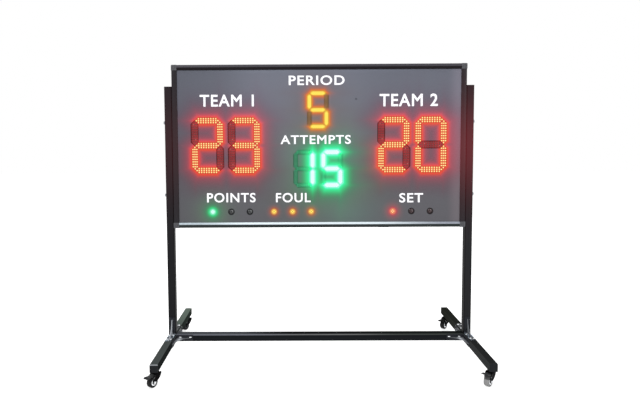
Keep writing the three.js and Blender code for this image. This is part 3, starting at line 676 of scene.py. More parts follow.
lampLook = {
    "bezelRadius": 0.0147,
    "bezelWidth": 0.0010,
    "bezelFace": -0.0148,
    "diodeSpread": 0.0050,
    "diodeFace": -0.0127,
    # heart, cup and out paint the glow in a lit lamp's cup, and field spreads its painted light over the
    # sheet
    "green": {"heart": tone(176, 252, 230), "cup": tone(164, 252, 220), "out": tone(92, 216, 156),
              "field": (1.9, 15.3), "lit": tone(244, 255, 252), "unlit": tone(96, 98, 99)},
    "amber": {"heart": tone(208, 164, 38), "cup": tone(246, 190, 68), "out": tone(182, 112, 50),
              "field": (1.35, 12.0), "lit": tone(255, 238, 92), "unlit": tone(96, 92, 90)},
    "red": {"heart": tone(214, 116, 62), "cup": tone(240, 142, 90), "out": tone(204, 98, 84),
            "field": (1.7, 16.3), "lit": tone(255, 214, 150), "unlit": tone(92, 70, 72)},
}


def cupFinish(stripName):
    strip = lamps[stripName]
    look = lampLook[strip["light"]]
    finish = Finish("lamp cups " + stripName)
    across, depth, up = finish.axes()
    front = depth < boardFace
    litPlaces = [strip["places"][index] for index in strip["lit"]]
    around = nearest([awayFromSpot(across, up, x, z) for x, z in litPlaces])
    # painted light: the cup glows around each lit lamp, from a bright heart outwards
    glow = finish.mixed(look["cup"], look["out"], around.easing(6.0, 16.0))
    glow = finish.mixed(look["heart"], glow, around.easing(2.0, 9.0))
    glow = finish.mixed(grey(0.0), glow, (around < 19.0) * front)
    # an unlit cup: painted shade near its wall, a pale crescent of painted highlight at the upper right and a
    # painted glint at the upper left
    dark = finish.mixed(tone(70, 72, 74), tone(58, 60, 62), finish.noise(400.0))
    darkPlaces = [place for place in strip["places"] if place not in litPlaces]
    if darkPlaces:
        inside = nearest([awayFromSpot(across, up, x, z) for x, z in darkPlaces])
        dark = finish.toned(dark, (grey(0.42), inside.easing(7.5, 10.5)))
        sides = [((across - x) * 0.87 + (up - z) * 0.5).easing(0.0010, 0.0060)
                 * (abs(across - x) < lampPitch / 2) for x, z in darkPlaces]
        glints = nearest([awayFromSpot(across, up, x - 0.0062, z + 0.0058) for x, z in darkPlaces])
        crescent = (inside - 6.4).falling(1.7) * sum(sides)
        pale = (crescent * 0.85 + glints.falling(1.7) * 0.8) * front
        dark = finish.mixed(dark, tone(186, 188, 190), pale)
        if strip["light"] == "red":
            dark = finish.toned(dark, ((1.15, 0.72, 0.76, 1.0), 1.0 - pale))
    return finish.surface(finish.mixed(tone(18, 50, 38), dark, front), 0.35, 0.2, glow)


def bezelFinish(name, glow=grey(0.0)):
    finish = Finish(name)
    rub = finish.noise(260.0)
    base = finish.mixed(tone(38, 40, 42), tone(54, 56, 58), rub)
    return finish.surface(base, 0.4, 0.2, finish.toned(glow, (grey(0.85), rub)))


def modelBezel():
    bezel = added(bpy.ops.mesh.primitive_torus_add, major_radius=lampLook["bezelRadius"], major_segments=36,
                  minor_radius=lampLook["bezelWidth"], minor_segments=8, rotation=(math.pi / 2, 0, 0))
    applyPlace(bezel)
    editAll(bezel)
    bpy.ops.transform.resize(value=(1, 0.7, 1), center_override=(0, 0, 0))
    dropSelection()
    return bezel


def dressLamps(source):
    bezel = modelBezel()
    darkBezel = bezelFinish("bezel plastic")
    away = lampLook["diodeSpread"]
    for stripName, strip in lamps.items():
        look, slot = lampLook[strip["light"]], strip["light"] + "_lamp"
        # the bezels of lit lamps glow with painted light in the lamp's colour
        brightBezel = bezelFinish("glowing bezel " + stripName, look["out"])
        for state, word in ((True, "lit"), (False, "dark")):
            places = [place for index, place in enumerate(strip["places"])
                      if (index in strip["lit"]) is state]
            if not places:
                continue
            rings = [twinOf(bezel, (x, lampLook["bezelFace"], z)) for x, z in places]
            settle(rings, f"bezels_{stripName}_{word}", "stand", brightBezel if state else darkBezel, slot)
            parts = [twinOf(source, (x + side * away, lampLook["diodeFace"], z + rise * away))
                     for x, z in places for side, rise in ((0, 1), (0, -1), (1, 0), (-1, 0))]
            makeFinish = litFinish if state else clearFinish
            finish = makeFinish(f"{word} lamp {stripName}", look["lit" if state else "unlit"])
            settle(parts, f"lamp_diodes_{stripName}_{word}", "stand", finish, slot, 60)
        dress("lamp_strip_" + stripName, cupFinish(stripName))
    throwAway(bezel, source)
    print("lamps dressed")


# white words and the light sensor on the front sheet

# text, left, right, bottom and top, with heights up from the lower edge of the board
words = {
    "team_one": ("TEAM 1", -0.546, -0.298, 0.560, 0.614),
    "team_two": ("TEAM 2", 0.277, 0.543, 0.557, 0.614),
    "period": ("PERIOD", -0.138, 0.117, 0.655, 0.699),
    "attempts": ("ATTEMPTS", -0.177, 0.146, 0.386, 0.427),
    "points": ("POINTS", -0.519, -0.294, 0.118, 0.162),
    "foul": ("FOUL", -0.200, -0.039, 0.117, 0.161),
    "set": ("SET", 0.370, 0.480, 0.114, 0.158),
}

wordLook = {"bold": 0.0011, "spacing": 1.12, "thickness": 0.0004, "face": -0.0147, "size": 0.06}

sensor = {"x": 0.170, "z": 0.592, "radius": 0.0040, "thickness": 0.0012,
          "insets": ((0.0010, 0.0010), (0.0014, 0.0007))}


def placeWords():
    # the ink gets a faint painted glow that lifts it brighter
    ink = mottledFinish("white ink with painted glow", (252, 252, 255), (240, 240, 246), 160.0, 0.5, 2.0, glow=grey(0.20))
    for wordName, (text, left, right, bottom, top) in words.items():
        piece = added(bpy.ops.object.text_add, rotation=(math.pi / 2, 0, 0))
        piece.data.body = text
        piece.data.size = wordLook["size"]
        piece.data.space_character = wordLook["spacing"]
        piece.data.bevel_depth = wordLook["bold"]
        piece.data.bevel_resolution = 0
        piece.data.resolution_u = 6
        bpy.ops.object.convert(target="MESH")
        applyPlace(piece)
        corners = [corner.co for corner in piece.data.vertices]
        low = Vector(min(co[axis] for co in corners) for axis in range(3))
        high = Vector(max(co[axis] for co in corners) for axis in range(3))
        stretch = ((right - left) / (high.x - low.x), wordLook["thickness"] / (high.y - low.y),
                   (top - bottom) / (high.z - low.z))
        editAll(piece)
        bpy.ops.transform.translate(value=(-low.x, -high.y, -low.z))
        bpy.ops.transform.resize(value=stretch, center_override=(0, 0, 0))
        bpy.ops.transform.translate(value=(left, wordLook["face"], boardBottom + bottom))
        dropSelection()
        settle([piece], "word_" + wordName, "stand", ink, None, 30)
    print("words placed")


def placeSensor():
    place = (sensor["x"], wordLook["face"] - sensor["thickness"] / 2, boardBottom + sensor["z"])
    piece = modelDisc(sensor["radius"], sensor["thickness"], 24, place, sensor["insets"])
    lens = mottledFinish("smoked lens", (66, 68, 76), (84, 86, 95), 300.0, 0.2, 1.0)
    settle([piece], "light_sensor", "stand", lens, None, 50)


# softened copies of solid pieces

# points this near are one, and edges flatter or sharper than these angles are merged or rounded
copying = {"near": 0.00002, "flat": 0.5, "sharp": 48, "segments": 2}


def softened(nodeName, finish, slotName, edge=0.0, smoothAngle=40):
    # a copy with its edges rounded, or with its shading weighted where the solid has its own rounds
    piece = frame["nodes"][nodeName].copy()
    piece.data = frame["nodes"][nodeName].data.copy()
    for key in list(piece.keys()):
        del piece[key]
    piece.parent = None
    bpy.context.collection.objects.link(piece)
    editAll(piece)
    bpy.ops.mesh.remove_doubles(threshold=copying["near"])
    bpy.ops.mesh.dissolve_limited(angle_limit=math.radians(copying["flat"]))
    bpy.ops.mesh.normals_make_consistent(inside=False)
    dropSelection()
    if edge:
        addModifier(piece, "BEVEL", width=edge, segments=copying["segments"], limit_method="ANGLE",
                    angle_limit=math.radians(copying["sharp"]), harden_normals=False, use_clamp_overlap=True)
    settle([piece], nodeName + "_shell", bodyOfNode[nodeName], finish, slotName, smoothAngle)
    if not edge:
        addModifier(piece, "WEIGHTED_NORMAL", keep_sharp=True)
    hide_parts(nodeName)
    return piece


# frame rails and corners

redOnMetal = {"height": 0.372, "reach": 0.20, "colour": tone(93, 20, 24), "left": 0.22, "right": 1.0}

# painted light and shade: each pair is a lit tone and a shaded tone, the lit one above the ridge of the top
# and bottom rails and at the front of the side rails; the bottom rail's lit tone is a painted highlight band,
# dimmer at its left and right
railLook = {
    "side": (tone(43, 42, 45), tone(38, 36, 39)),
    "top": (tone(70, 68, 73), tone(29, 25, 28)),
    "bottom": (tone(231, 243, 250), tone(46, 52, 52)),
    "bottomLeftHighlight": tone(178, 190, 198),
    "bottomRightHighlight": tone(152, 157, 168),
    "ridgeTop": 0.0125,
    "ridgeBottom": 0.0153,
    "worn": (0.78, 0.78, 0.8, 1.0),
}


def redGlow(finish, up, share):
    # the red digits shine on the metal beside them
    warm = (up - boardBottom - redOnMetal["height"]).falling(redOnMetal["reach"]) * share
    return finish.mixed(grey(0.0), redOnMetal["colour"], warm)


def railFinish(side, key, ridge=None):
    finish = Finish(f"anodised {side} rail")
    across, depth, up = finish.axes()
    streak = finish.noise(60.0, 3.0, 0.6, (1.0, 30.0, 30.0) if ridge else (30.0, 30.0, 1.0))
    # painted light and shade: the lit tone meets the shaded tone at the ridge, or at the front of a side
    # rail; the bottom rail's painted highlight is dimmer at its ends
    upper, lower = railLook[key]
    if key == "bottom":
        upper = finish.mixed(upper, railLook["bottomRightHighlight"], across.easing(0.20, 0.60))
        upper = finish.mixed(upper, railLook["bottomLeftHighlight"], across.easing(-0.30, -0.58))
    share = (up - ridge).easing(-0.0012, 0.0012) if ridge else depth.easing(-0.016, -0.020)
    base = finish.toned(finish.mixed(lower, upper, share), (railLook["worn"], streak * 0.5))
    glow = grey(0.0)
    if key == "side":
        # not on the outer wall of the rail
        seen = (depth < -0.0130) * (abs(across) < boardSide - 0.0004)
        glow = redGlow(finish, up, seen * redOnMetal[side])
    return finish.surface(base, 0.38, 0.08, glow, (streak, 0.05, 0.0003), Metallic=0.3)


def dressFrame():
    ridges = {"top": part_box("frame_rail_top")[1].z - railLook["ridgeTop"],
              "bottom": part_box("frame_rail_bottom")[0].z + railLook["ridgeBottom"]}
    for side in ("top", "bottom", "left", "right"):
        key = side if side in ridges else "side"
        softened("frame_rail_" + side, railFinish(side, key, ridges.get(side)), "frame", smoothAngle=30)
    corner = mottledFinish("moulded corner", (76, 76, 80), (94, 94, 98), 500.0, 0.5, 2.0, (0.08, 0.0003),
                           shine=0.2)
    for side in ("top_left", "top_right", "bottom_left", "bottom_right"):
        softened("corner_block_" + side, corner, "corner", 0.0004)
    dress("front_panel", panelFinish())
    print("board frame dressed")


# the back of the board

screw = {"radius": 0.0042, "height": 0.0022, "sides": 12, "fromSide": 0.012, "fromEnd": 0.010}


def modelScrew():
    # pan head with a socket, its axis along -Y and its seat at the origin
    radius, height = screw["radius"], screw["height"]
    return modelDisc(radius, height * 0.5, screw["sides"], (0, -height * 0.25, 0),
                     ((radius * 0.16, height * 0.32), (radius * 0.26, height * 0.18), (radius * 0.10, 0.0),
                      (radius * 0.04, -height * 0.42)))


def facing(direction):
    return Vector((0, -1, 0)).rotation_difference(Vector(direction)).to_matrix().to_4x4()


def dressBack(source):
    low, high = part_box("rear_panel")
    sheet = Finish("coated back sheet")
    sheet.surface(sheet.mixed(tone(62, 64, 69), tone(74, 76, 80), sheet.noise(3.0, 2.0)), 0.55, 0.3,
                  bump=(sheet.noise(700.0, 2.0), 0.12, 0.0004))
    dress("rear_panel", sheet)
    left, right = low.x + screw["fromSide"], high.x - screw["fromSide"]
    places = []
    for index in range(6):
        x = left + index * (right - left) / 5
        places += [(x, low.z + screw["fromEnd"]), (x, high.z - screw["fromEnd"])]
    for index in (1, 2):
        z = low.z + index * (high.z - low.z) / 3
        places += [(left, z), (right, z)]
    heads = [twinOf(source, Matrix.Translation((x, high.y, z)) @ facing((0, 1, 0))) for x, z in places]
    settle(heads, "rear_screws", "stand", zincFinish(), "bolt", 30)
    supply = Finish("folded steel case")
    holes = supply.node("ShaderNodeTexVoronoi", {"distance": "CHEBYCHEV"},
                        {"Vector": supply.spot(), "Scale": 120.0, "Randomness": 0.0}, "Distance")
    supply.surface(supply.mixed(tone(30, 30, 32), tone(176, 180, 184), holes > 0.25), 0.35, Metallic=0.8)
    dress("power_supply", supply)
    dress("control_board", mottledFinish("green circuit board", (20, 70, 48), (34, 96, 66), 260.0, 0.4, 4.0))
    dress("power_inlet", mottledFinish("black socket plastic", (18, 18, 19), (30, 30, 31), 600.0, 0.45))
    print("back dressed")


# stand

# the tubes are one coat; painted light and shade set their tones: the right upright lighter than the left and
# both lighter towards the top, painted shade on the uprights' edges, the bar's top lighter at its left with a
# painted highlight line on its fold, the left foot lit and the right one shaded, and the feet's sides painted
# darker on the left and lighter on the right
tubeLook = {
    "leftUpright": tone(37, 37, 39),
    "rightUpright": tone(44, 44, 46),
    "highUpright": tone(46, 42, 45),
    "edge": grey(0.42),
    "worn": (0.70, 0.72, 0.75, 1.0),
    "bar": tone(31, 33, 36),
    "barTopLight": (tone(74, 76, 80), tone(25, 25, 26), tone(22, 25, 24)),
    "barHighlightLine": (tone(112, 115, 124), tone(106, 107, 108), tone(66, 70, 68)),
    "leftFoot": (tone(75, 80, 79), tone(98, 109, 101)),
    "rightFoot": (tone(38, 39, 39), tone(33, 34, 30)),
    "wornFoot": (0.72, 0.75, 0.75, 1.0),
    "leftInner": (grey(0.24), grey(0.24)),
    "rightInner": (grey(2.5), grey(1.6)),
    "leftOuter": grey(0.35),
    "rightOuter": grey(1.4),
}


def coatedSurface(finish, base, glow=None, shine=0.02):
    orange = finish.noise(900.0, 2.0)
    # a faint painted glow in the orange peel, where no other glow is given
    glow = glow or finish.mixed(grey(0.0), grey(0.002), orange)
    return finish.surface(base, 0.42, shine, glow, (orange, 0.10, 0.0003))


def cloudAlong(finish, stretch):
    return finish.noise(14.0, 3.0, 0.55, stretch)


def uprightFinish(side):
    finish = Finish(f"coated {side} upright")
    across, depth, up = finish.axes()
    # painted light and shade: the right upright is lighter than the left, both grow lighter towards the top,
    # and their side edges are painted darker
    base = finish.mixed(tubeLook[side + "Upright"], tubeLook["highUpright"], up.easing(0.45, 0.95))
    off = abs(across - middleOf("upright_" + side).x)
    base = finish.toned(base, (tubeLook["worn"], cloudAlong(finish, (8.0, 8.0, 1.0)) * 0.7),
                        (tubeLook["edge"], off.easing(0.0125, 0.0158)))
    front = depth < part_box("upright_left")[0].y + 0.0030
    return coatedSurface(finish, base, redGlow(finish, up, front * redOnMetal[side]))


def barFinish():
    # a painted highlight runs as a pale line along the fold between the top and the front, strongest at the
    # left, and the top is painted lighter at the left
    finish = Finish("coated bar")
    across, depth, up = finish.axes()
    low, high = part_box("cross_bar")
    leftTop, middleTop, rightTop = tubeLook["barTopLight"]
    leftHighlight, middleHighlight, rightHighlight = tubeLook["barHighlightLine"]
    upper = finish.mixed(leftTop, middleTop, across.easing(-0.46, -0.12))
    upper = finish.mixed(upper, rightTop, across.easing(0.10, 0.40))
    base = finish.mixed(tubeLook["bar"], upper, (up - high.z).easing(-0.0010, -0.0003))
    base = finish.toned(base, (tubeLook["worn"], cloudAlong(finish, (1.0, 8.0, 8.0)) * 0.6))
    fold = (depth - low.y).easing(0.0014, 0.0006) * (up - high.z).easing(-0.0068, -0.0050)
    line = finish.mixed(leftHighlight, middleHighlight, across.easing(-0.35, -0.05))
    line = finish.mixed(line, rightHighlight, across.easing(0.12, 0.40))
    return coatedSurface(finish, finish.mixed(base, line, fold), shine=0.0)


def footFinish(side):
    # painted light and shade: the left foot catches more light on top than the right one, each changes tone
    # towards the rear, and the sides are painted darker on the left foot and lighter on the right one
    finish = Finish(f"coated {side} foot")
    across, depth, up = finish.axes()
    low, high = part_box("foot_" + side)
    inside, outside = sorted((abs(low.x), abs(high.x)))
    far = depth.easing(-0.10, 0.28)
    innerShading = (abs(across) - (inside + 0.0012)).easing(0.0003, -0.0003)
    outer = abs(across) - (outside - 0.0045)
    base = finish.toned(finish.mixed(*tubeLook[side + "Foot"], far),
                        (finish.mixed(*tubeLook[side + "Inner"], far), innerShading),
                        (tubeLook["wornFoot"], cloudAlong(finish, (8.0, 1.0, 8.0)) * 0.8),
                        (grey(0.5), outer.easing(0.0, 0.0030)),
                        (tubeLook[side + "Outer"], outer.easing(0.0036, 0.0043)))
    return coatedSurface(finish, base, shine=0.0)


def plugFinish(side):
    finish = Finish(f"{side} plug plastic")
    across, depth, up = finish.axes()
    speck = finish.noise(500.0)
    base = finish.mixed(tone(34, 36, 38), tone(42, 44, 46), speck)
    if side == "left":
        # a painted highlight along its top front edge
        edge = (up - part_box("foot_left")[1].z).easing(-0.0050, -0.0020) * (1 - (depth > 0.0))
        base = finish.mixed(base, tone(150, 154, 158), edge)
    return finish.surface(base, 0.5, 0.02, bump=(speck, 0.08, 0.0003))


brace = {
    "leg": (0.020, 0.068),
    "out": 0.008,
    "outOnBar": 0.0050,
    "plate": 0.003,
    "web": 0.0026,
    "head": (1.05, 1.5, 1.05, 1.0),
    "headOnBar": (1.60, 1.0, 0.52, 1.0),
    "lift": 0.0003,
    "dark": (tone(34, 36, 40), tone(44, 46, 51)),
    # line is a painted highlight along the web's edge, scaled by onBar, onRight and the share near the foot;
    # bright is a painted reflection where the brace lies on the foot
    "line": tone(176, 180, 186),
    "bright": tone(176, 190, 204),
    "onBar": 0.22,
    "onRight": 0.30,
    "highlightNearFoot": 0.022,
}


def braceFinish(name, onFoot):
    # dark like the tubes, with a painted highlight along the slanted edge of its web and a bright painted
    # reflection where it lies on the foot
    finish = Finish(name)
    across, depth, up = finish.axes()
    cast = finish.noise(240.0, 3.0)
    base = finish.mixed(*brace["dark"], cast)
    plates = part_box("cross_bar")[1].y + brace["plate"] + 0.0012
    if onFoot:
        offWeb = abs(abs(across) - abs(middleOf("upright_left").x))
        shown = 1 - across.easing(-0.1, 0.1) * (1 - brace["onRight"])
    else:
        # a painted highlight, brighter near the foot
        offWeb = abs(up - middleOf("cross_bar").z)
        highlightNearFoot = (abs(across) - abs(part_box("cross_bar")[0].x) + brace["highlightNearFoot"]).falling(0.0085)
        shown = highlightNearFoot * 0.85 + brace["onBar"]
    web = offWeb.easing(brace["web"] + 0.0004, brace["web"]) * (abs(depth) > plates)
    edge = finish.askew().easing(0.0004, 0.006) * web * shown
    base = finish.mixed(base, brace["line"], edge * (0.6 + cast * 0.5))
    if onFoot:
        streak = finish.noise(90.0, 2.0, 0.5, (2.5, 0.6, 1.0)).easing(0.46, 0.62)
        low = (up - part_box("foot_left")[1].z).easing(0.0060, 0.0040) * (depth < 0.0)
        base = finish.mixed(base, brace["bright"], low * streak)
    return finish.surface(base, 0.34, 0.06, bump=(cast, 0.10, 0.0003), Metallic=0.2)


def braceBolts(source):
    # four heads on each leg, on both sides of the web; the heads that catch the light get a painted
    # highlight, the others painted shade
    finishes = {"dark": zincFinish("dark bolt in painted shade", (52, 54, 60), (34, 36, 40)),
                "bright": zincFinish("bolt with painted highlight", (250, 251, 252), (228, 231, 235))}
    boltHead = twinOf(source, Matrix.Diagonal(brace["head"]))
    asMade, longHead = Matrix.Identity(4), Matrix.Diagonal(brace["headOnBar"])
    legX = abs(middleOf("upright_left").x)
    barMiddle = middleOf("cross_bar").z
    inside = abs(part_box("cross_bar")[0].x)
    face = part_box("cross_bar")[1].y + brace["lift"]
    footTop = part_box("foot_left")[1].z + brace["lift"]
    plate, out, outOnBar = brace["plate"], brace["out"], brace["outOnBar"]
    for sideName, side in (("left", -1), ("right", 1)):
        for endName, end in (("front", -1), ("rear", 1)):
            heads = {"dark": [], "bright": []}
            onPlate = end * (face + plate)
            for away in brace["leg"]:
                onLeg = end * (face + away)
                endX, barX = side * (inside - plate), side * (inside - away)
                for step in (-out, out):
                    x = side * legX + step
                    heads["dark"].append(((x, onPlate, footTop + away), (0, end, 0), asMade))
                    heads["bright"].append(((x, onLeg, footTop + plate), (0, 0, 1), asMade))
                    heads["dark"].append(((endX, onLeg, barMiddle + step), (-side, 0, 0), asMade))
                for word, step in (("dark", -outOnBar), ("bright", outOnBar)):
                    heads[word].append(((barX, onPlate, barMiddle + step), (0, end, 0), longHead))
            for word, places in heads.items():
                copies = [twinOf(boltHead, Matrix.Translation(place) @ facing(direction) @ shape)
                          for place, direction, shape in places]
                settle(copies, f"brace_bolts_{word}_{sideName}_{endName}", "stand", finishes[word],
                       "bolt", 30)
    throwAway(boltHead)


def dressStand(source):
    onBar = braceFinish("dark cast metal on the bar", False)
    onFoot = braceFinish("dark cast metal on the foot", True)
    board = zincFinish("greyed zinc", (150, 153, 158), (112, 115, 120))
    for side in ("left", "right"):
        softened("upright_" + side, uprightFinish(side), "tube", smoothAngle=50)
    softened("cross_bar", barFinish(), "tube", smoothAngle=50)
    for side in ("left", "right"):
        softened("foot_" + side, footFinish(side), "tube", smoothAngle=50)
        plug = plugFinish(side)
        for end in ("front", "rear"):
            softened(f"foot_plug_{side}_{end}", plug, "plug", 0.0006)
            softened(f"brace_upright_{side}_{end}", onFoot, "brace", 0.0005)
            softened(f"brace_bar_{side}_{end}", onBar, "brace", 0.0005)
        for height in ("upper", "lower"):
            softened(f"board_bolt_{side}_{height}", board, "bolt", 0.0004)
    braceBolts(source)
    throwAway(source)
    print("stand dressed")


# castors

castor = {
    "wheelRadius": 0.022,
    "wheelWidth": 0.021,
    "wheelRound": 0.0032,
    "wheelInsets": ((0.0026, 0.0), (0.0008, -0.0026), (0.0040, 0.0), (0.0007, 0.0024)),
    # radius, length, sides, where it starts on the axle, and the insets of its face
    "ring": (0.0128, 0.0020, 40, 0.0090, ((0.0008, 0.0004), (0.0030, 0.0), (0.0006, -0.0009))),
    "cap": (0.0057, 0.00154, 20, 0.0147, ((0.000684, 0.000672), (0.001254, 0.00042), (0.00171, 0.000168))),
    "pin": (0.0015, 0.0010, 12, 0.0146, ((0.00045, 0.0004), (0.00045, 0.0001))),
    "pins": ((-0.0010, 0.0430), (-0.0045, 0.0405)),
    "pedalBack": 0.017,
    "pedalHeight": 0.049,
    "pedalRaised": 15.0,
    "pedalPressed": -2.0,
    "ridges": (-0.0265, -0.0305, -0.0345),
    "ridgeLift": 0.0018,
    "ridgeSize": (0.017, 0.0014, 0.0014),
    "ridgeRound": 0.0004,
    "blockMiddle": (0, -0.0098, 0.0486),
    "blockSize": (0.0224, 0.0066, 0.0086),
    "blockRound": 0.0025,
}


def modelWheel():
    radius, width = castor["wheelRadius"], castor["wheelWidth"]
    piece = added(bpy.ops.mesh.primitive_cylinder_add, vertices=56, radius=radius, depth=width,
                  rotation=(0, math.pi / 2, 0))
    applyPlace(piece)
    pickEdges(piece, lambda a, b: same(a.x, b.x) and same(abs(a.x), width / 2))
    bpy.ops.mesh.bevel(offset=castor["wheelRound"], segments=4, affect="EDGES")
    pickFaces(piece, lambda normal: abs(normal.x) > 0.99)
    insetBy(castor["wheelInsets"])
    dropSelection()
    return piece


def modelOnAxle(radius, length, sides, start, insets):
    return modelDisc(radius, length, sides, (-start - length / 2, 0, 0), insets, "X")


def onBothSides(source, place):
    return [twinOf(source, place), twinOf(source, place @ Matrix.Rotation(math.pi, 4, "Z"))]


def modelRidge():
    piece = startBox((0, 0, castor["ridgeLift"]), castor["ridgeSize"])
    pickFaces(piece, lambda normal: normal.z > 0.9)
    bpy.ops.mesh.bevel(offset=castor["ridgeRound"], segments=2, affect="EDGES")
    dropSelection()
    return piece


def modelBlock():
    # holds the pedal's spring, between the cheeks and behind the pedal's pin
    piece = startBox(castor["blockMiddle"], castor["blockSize"])
    pickEdges(piece, lambda a, b: same(a.y, b.y) and same(a.z, b.z) and a.y > castor["blockMiddle"][1])
    bpy.ops.mesh.bevel(offset=castor["blockRound"], segments=3, affect="EDGES")
    dropSelection()
    return piece


def plasticFinish(name, light, dark, rough, shine=0.15, shades=()):
    # shades are heights between which the plastic lies darker, and how dark
    finish = Finish(name)
    grain = finish.noise(650.0, 2.0)
    base = finish.toned(finish.mixed(tone(*light), tone(*dark), finish.noise(45.0)), (grey(0.8), grain * 0.4),
                        *((grey(level), finish.axes()[2].easing(start, end)) for start, end, level in shades))
    return finish.surface(base, rough, shine, bump=(grain, 0.10, 0.0003))


def dressCastors():
    wheel, ridge, block = modelWheel(), modelRidge(), modelBlock()
    ring, cap, pin = [modelOnAxle(*castor[word]) for word in ("ring", "cap", "pin")]
    # the one grey tyre has the painted shadow of its fork above the axle and is darker at its bottom
    pale = plasticFinish("grey tread", (172, 172, 172), (150, 151, 152), 0.6, 0.05,
                         ((0.0315, 0.0345, 0.30), (0.0072, 0.0035, 0.25)))
    dark = plasticFinish("black tread", (24, 24, 25), (16, 16, 17), 0.6)
    black = plasticFinish("black nylon", (13, 13, 13), (20, 20, 21), 0.50, 0.01)
    pads = {"front": plasticFinish("pedal nylon", (40, 41, 42), (58, 60, 61), 0.4),
            "rear": plasticFinish("shaded pedal nylon", (22, 22, 21), (30, 30, 28), 0.5, 0.02)}
    chrome = zincFinish("polished steel", (240, 242, 244), (214, 216, 220))
    dull = zincFinish("dull pin", (150, 152, 154), (120, 122, 124))
    stem = zincFinish("stem steel", (58, 60, 62), (40, 41, 43))
    for name in ("front_left", "front_right", "rear_left", "rear_right"):
        pad = pads[name.split("_")[0]]
        pivot = middleOf("castor_stem_" + name)
        axle = middleOf("castor_wheel_" + name)
        turn = Matrix.Rotation(math.atan2(axle.x - pivot.x, pivot.y - axle.y), 4, "Z")
        atPivot = Matrix.Translation((pivot.x, pivot.y, 0)) @ turn
        atAxle = Matrix.Translation((axle.x, axle.y, castor["wheelRadius"])) @ turn
        tyre = twinOf(wheel, atAxle)
        settle([tyre], "tyre_" + name, "wheel_" + name, pale if name == "front_right" else dark, "wheel", 35)
        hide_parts("castor_wheel_" + name)
        # painted shade: the rear-left hub rings and the rear axle caps take the darker stem steel instead of
        # chrome
        settle(onBothSides(ring, atAxle), "hub_rings_" + name, "wheel_" + name,
               stem if name == "rear_left" else chrome, "wheel", 35)
        settle(onBothSides(cap, atAxle), "axle_caps_" + name, "fork_" + name,
               chrome if "front" in name else stem, "fork", 35)
        pins = []
        for along, height in castor["pins"]:
            pins += onBothSides(pin, atAxle @ Matrix.Translation((0, along, height - castor["wheelRadius"])))
        settle(pins, "brake_pins_" + name, "fork_" + name, dull, "fork", 35)
        softened("castor_fork_" + name, black, "fork", 0.0006)
        softened("castor_pedal_" + name, pad, "pedal", 0.0005)
        softened("castor_stem_" + name, stem, "stem", 0.0004, smoothAngle=50)
        tipped = castor["pedalRaised"] if name == "front_right" else castor["pedalPressed"]
        atPedal = (atPivot @ Matrix.Translation((0, -castor["pedalBack"], castor["pedalHeight"]))
                   @ Matrix.Rotation(-math.radians(tipped), 4, "X"))
        ridges = [twinOf(ridge, atPedal @ Matrix.Translation((0, y, 0))) for y in castor["ridges"]]
        settle(ridges, "pedal_ridges_" + name, "pedal_" + name, pad, "pedal", 35)
        settle([twinOf(block, atPivot)], "spring_block_" + name, "fork_" + name, black, "fork", 35)
    throwAway(wheel, ring, cap, pin, ridge, block)
    print("castors dressed")


# floor, light and camera

studio = {
    "worldLight": 0.52,
    "floorSize": 24,
    "floorTone": 0.86,
    "floorLift": 0.57,
    # place, height that is aimed at, size and power
    "lamps": {
        "key_light": ((-2.2, -3.6, 3.4), 0.7, 2.6, 76.0),
        "fill_light": ((2.8, -3.0, 2.0), 0.8, 2.4, 36.0),
        "top_light": ((0.0, 0.6, 3.8), 0.6, 3.0, 50.0),
        "back_light": ((0.6, 3.6, 2.6), 0.8, 2.6, 55.0),
    },
}

# the camera's height is up from the lower edge of the board, and lengths are in pixels of the frame
view = {
    "place": (-0.112656, -2.338294, 0.419260),
    "pitch": 0.0572246,
    "yaw": 0.0055106,
    "roll": -0.0052972,
    "focal": 505.0165,
    "centre": (291.8552, 165.8779),
    "frame": (640, 400),
    "sensor": 36.0,
}


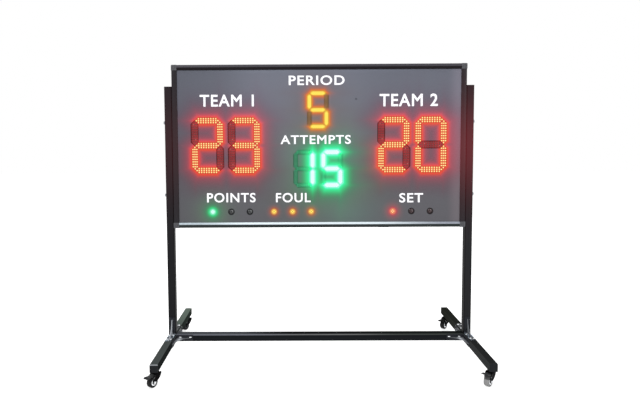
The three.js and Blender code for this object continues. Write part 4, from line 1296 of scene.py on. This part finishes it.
def makeStage():
    floor = added(bpy.ops.mesh.primitive_plane_add, size=1, location=(0, 0, 0))
    floor.scale = (studio["floorSize"], studio["floorSize"], 1)
    applyPlace(floor)
    floor.name = "floor"
    finish = Finish("pale floor")
    seen = finish.seenBy("Camera", "Glossy")
    matte = finish.node("ShaderNodeBsdfDiffuse", None, {"Color": grey(studio["floorTone"])})
    lift = finish.node("ShaderNodeEmission", None, {"Strength": seen * studio["floorLift"]})
    finish.ending(finish.node("ShaderNodeAddShader", None, {0: matte, 1: lift}))
    floor.data.materials.append(finish.material)

    # the world lights the object softly and is plain white where it is seen
    bpy.context.scene.world = bpy.data.worlds.new("studio")
    world = Finish("studio", bpy.context.scene.world)
    seen = world.seenBy("Camera", "Glossy", "Transmission")
    light = world.node("ShaderNodeBackground", None, {"Color": grey(1.0), "Strength": studio["worldLight"]})
    white = world.node("ShaderNodeBackground", None, {"Color": grey(1.0), "Strength": 1.0})
    world.ending(world.node("ShaderNodeMixShader", None, {0: seen, 1: light, 2: white}),
                 "ShaderNodeOutputWorld")
    print("floor and world ready")


def makeLights():
    for name, (place, height, size, power) in studio["lamps"].items():
        lamp = added(bpy.ops.object.light_add, type="AREA", location=place)
        lamp.name = name
        lamp.data.shape = "SQUARE"
        lamp.data.size = size
        lamp.data.energy = power
        toAim = Vector((0, 0, height)) - Vector(place)
        lamp.rotation_euler = toAim.to_track_quat("-Z", "Y").to_euler()
    print("lights ready")


def makeCamera():
    camera = added(bpy.ops.object.camera_add)
    camera.name = "photo_camera"
    width, height = view["frame"]
    camera.data.sensor_width = view["sensor"]
    camera.data.lens = view["focal"] * view["sensor"] / width
    camera.data.shift_x = (width / 2 - view["centre"][0]) / width
    camera.data.shift_y = (view["centre"][1] - height / 2) / width
    camera.data.clip_start = 0.05
    place = Vector(view["place"]) + Vector((0, 0, boardBottom))
    camera.matrix_world = (Matrix.Translation(place) @ Matrix.Rotation(view["yaw"], 4, "Z")
                           @ Matrix.Rotation(math.pi / 2 - view["pitch"], 4, "X")
                           @ Matrix.Rotation(view["roll"], 4, "Z"))
    bpy.context.scene.camera = camera
    print("camera ready")


def main():
    bpy.context.scene.view_settings.view_transform = "Standard"
    dressFrame()
    dressLamps(dressDigits())
    placeWords()
    placeSensor()
    screwHead = modelScrew()
    dressBack(screwHead)
    dressStand(screwHead)
    dressCastors()
    makeStage()
    makeLights()
    makeCamera()


main()
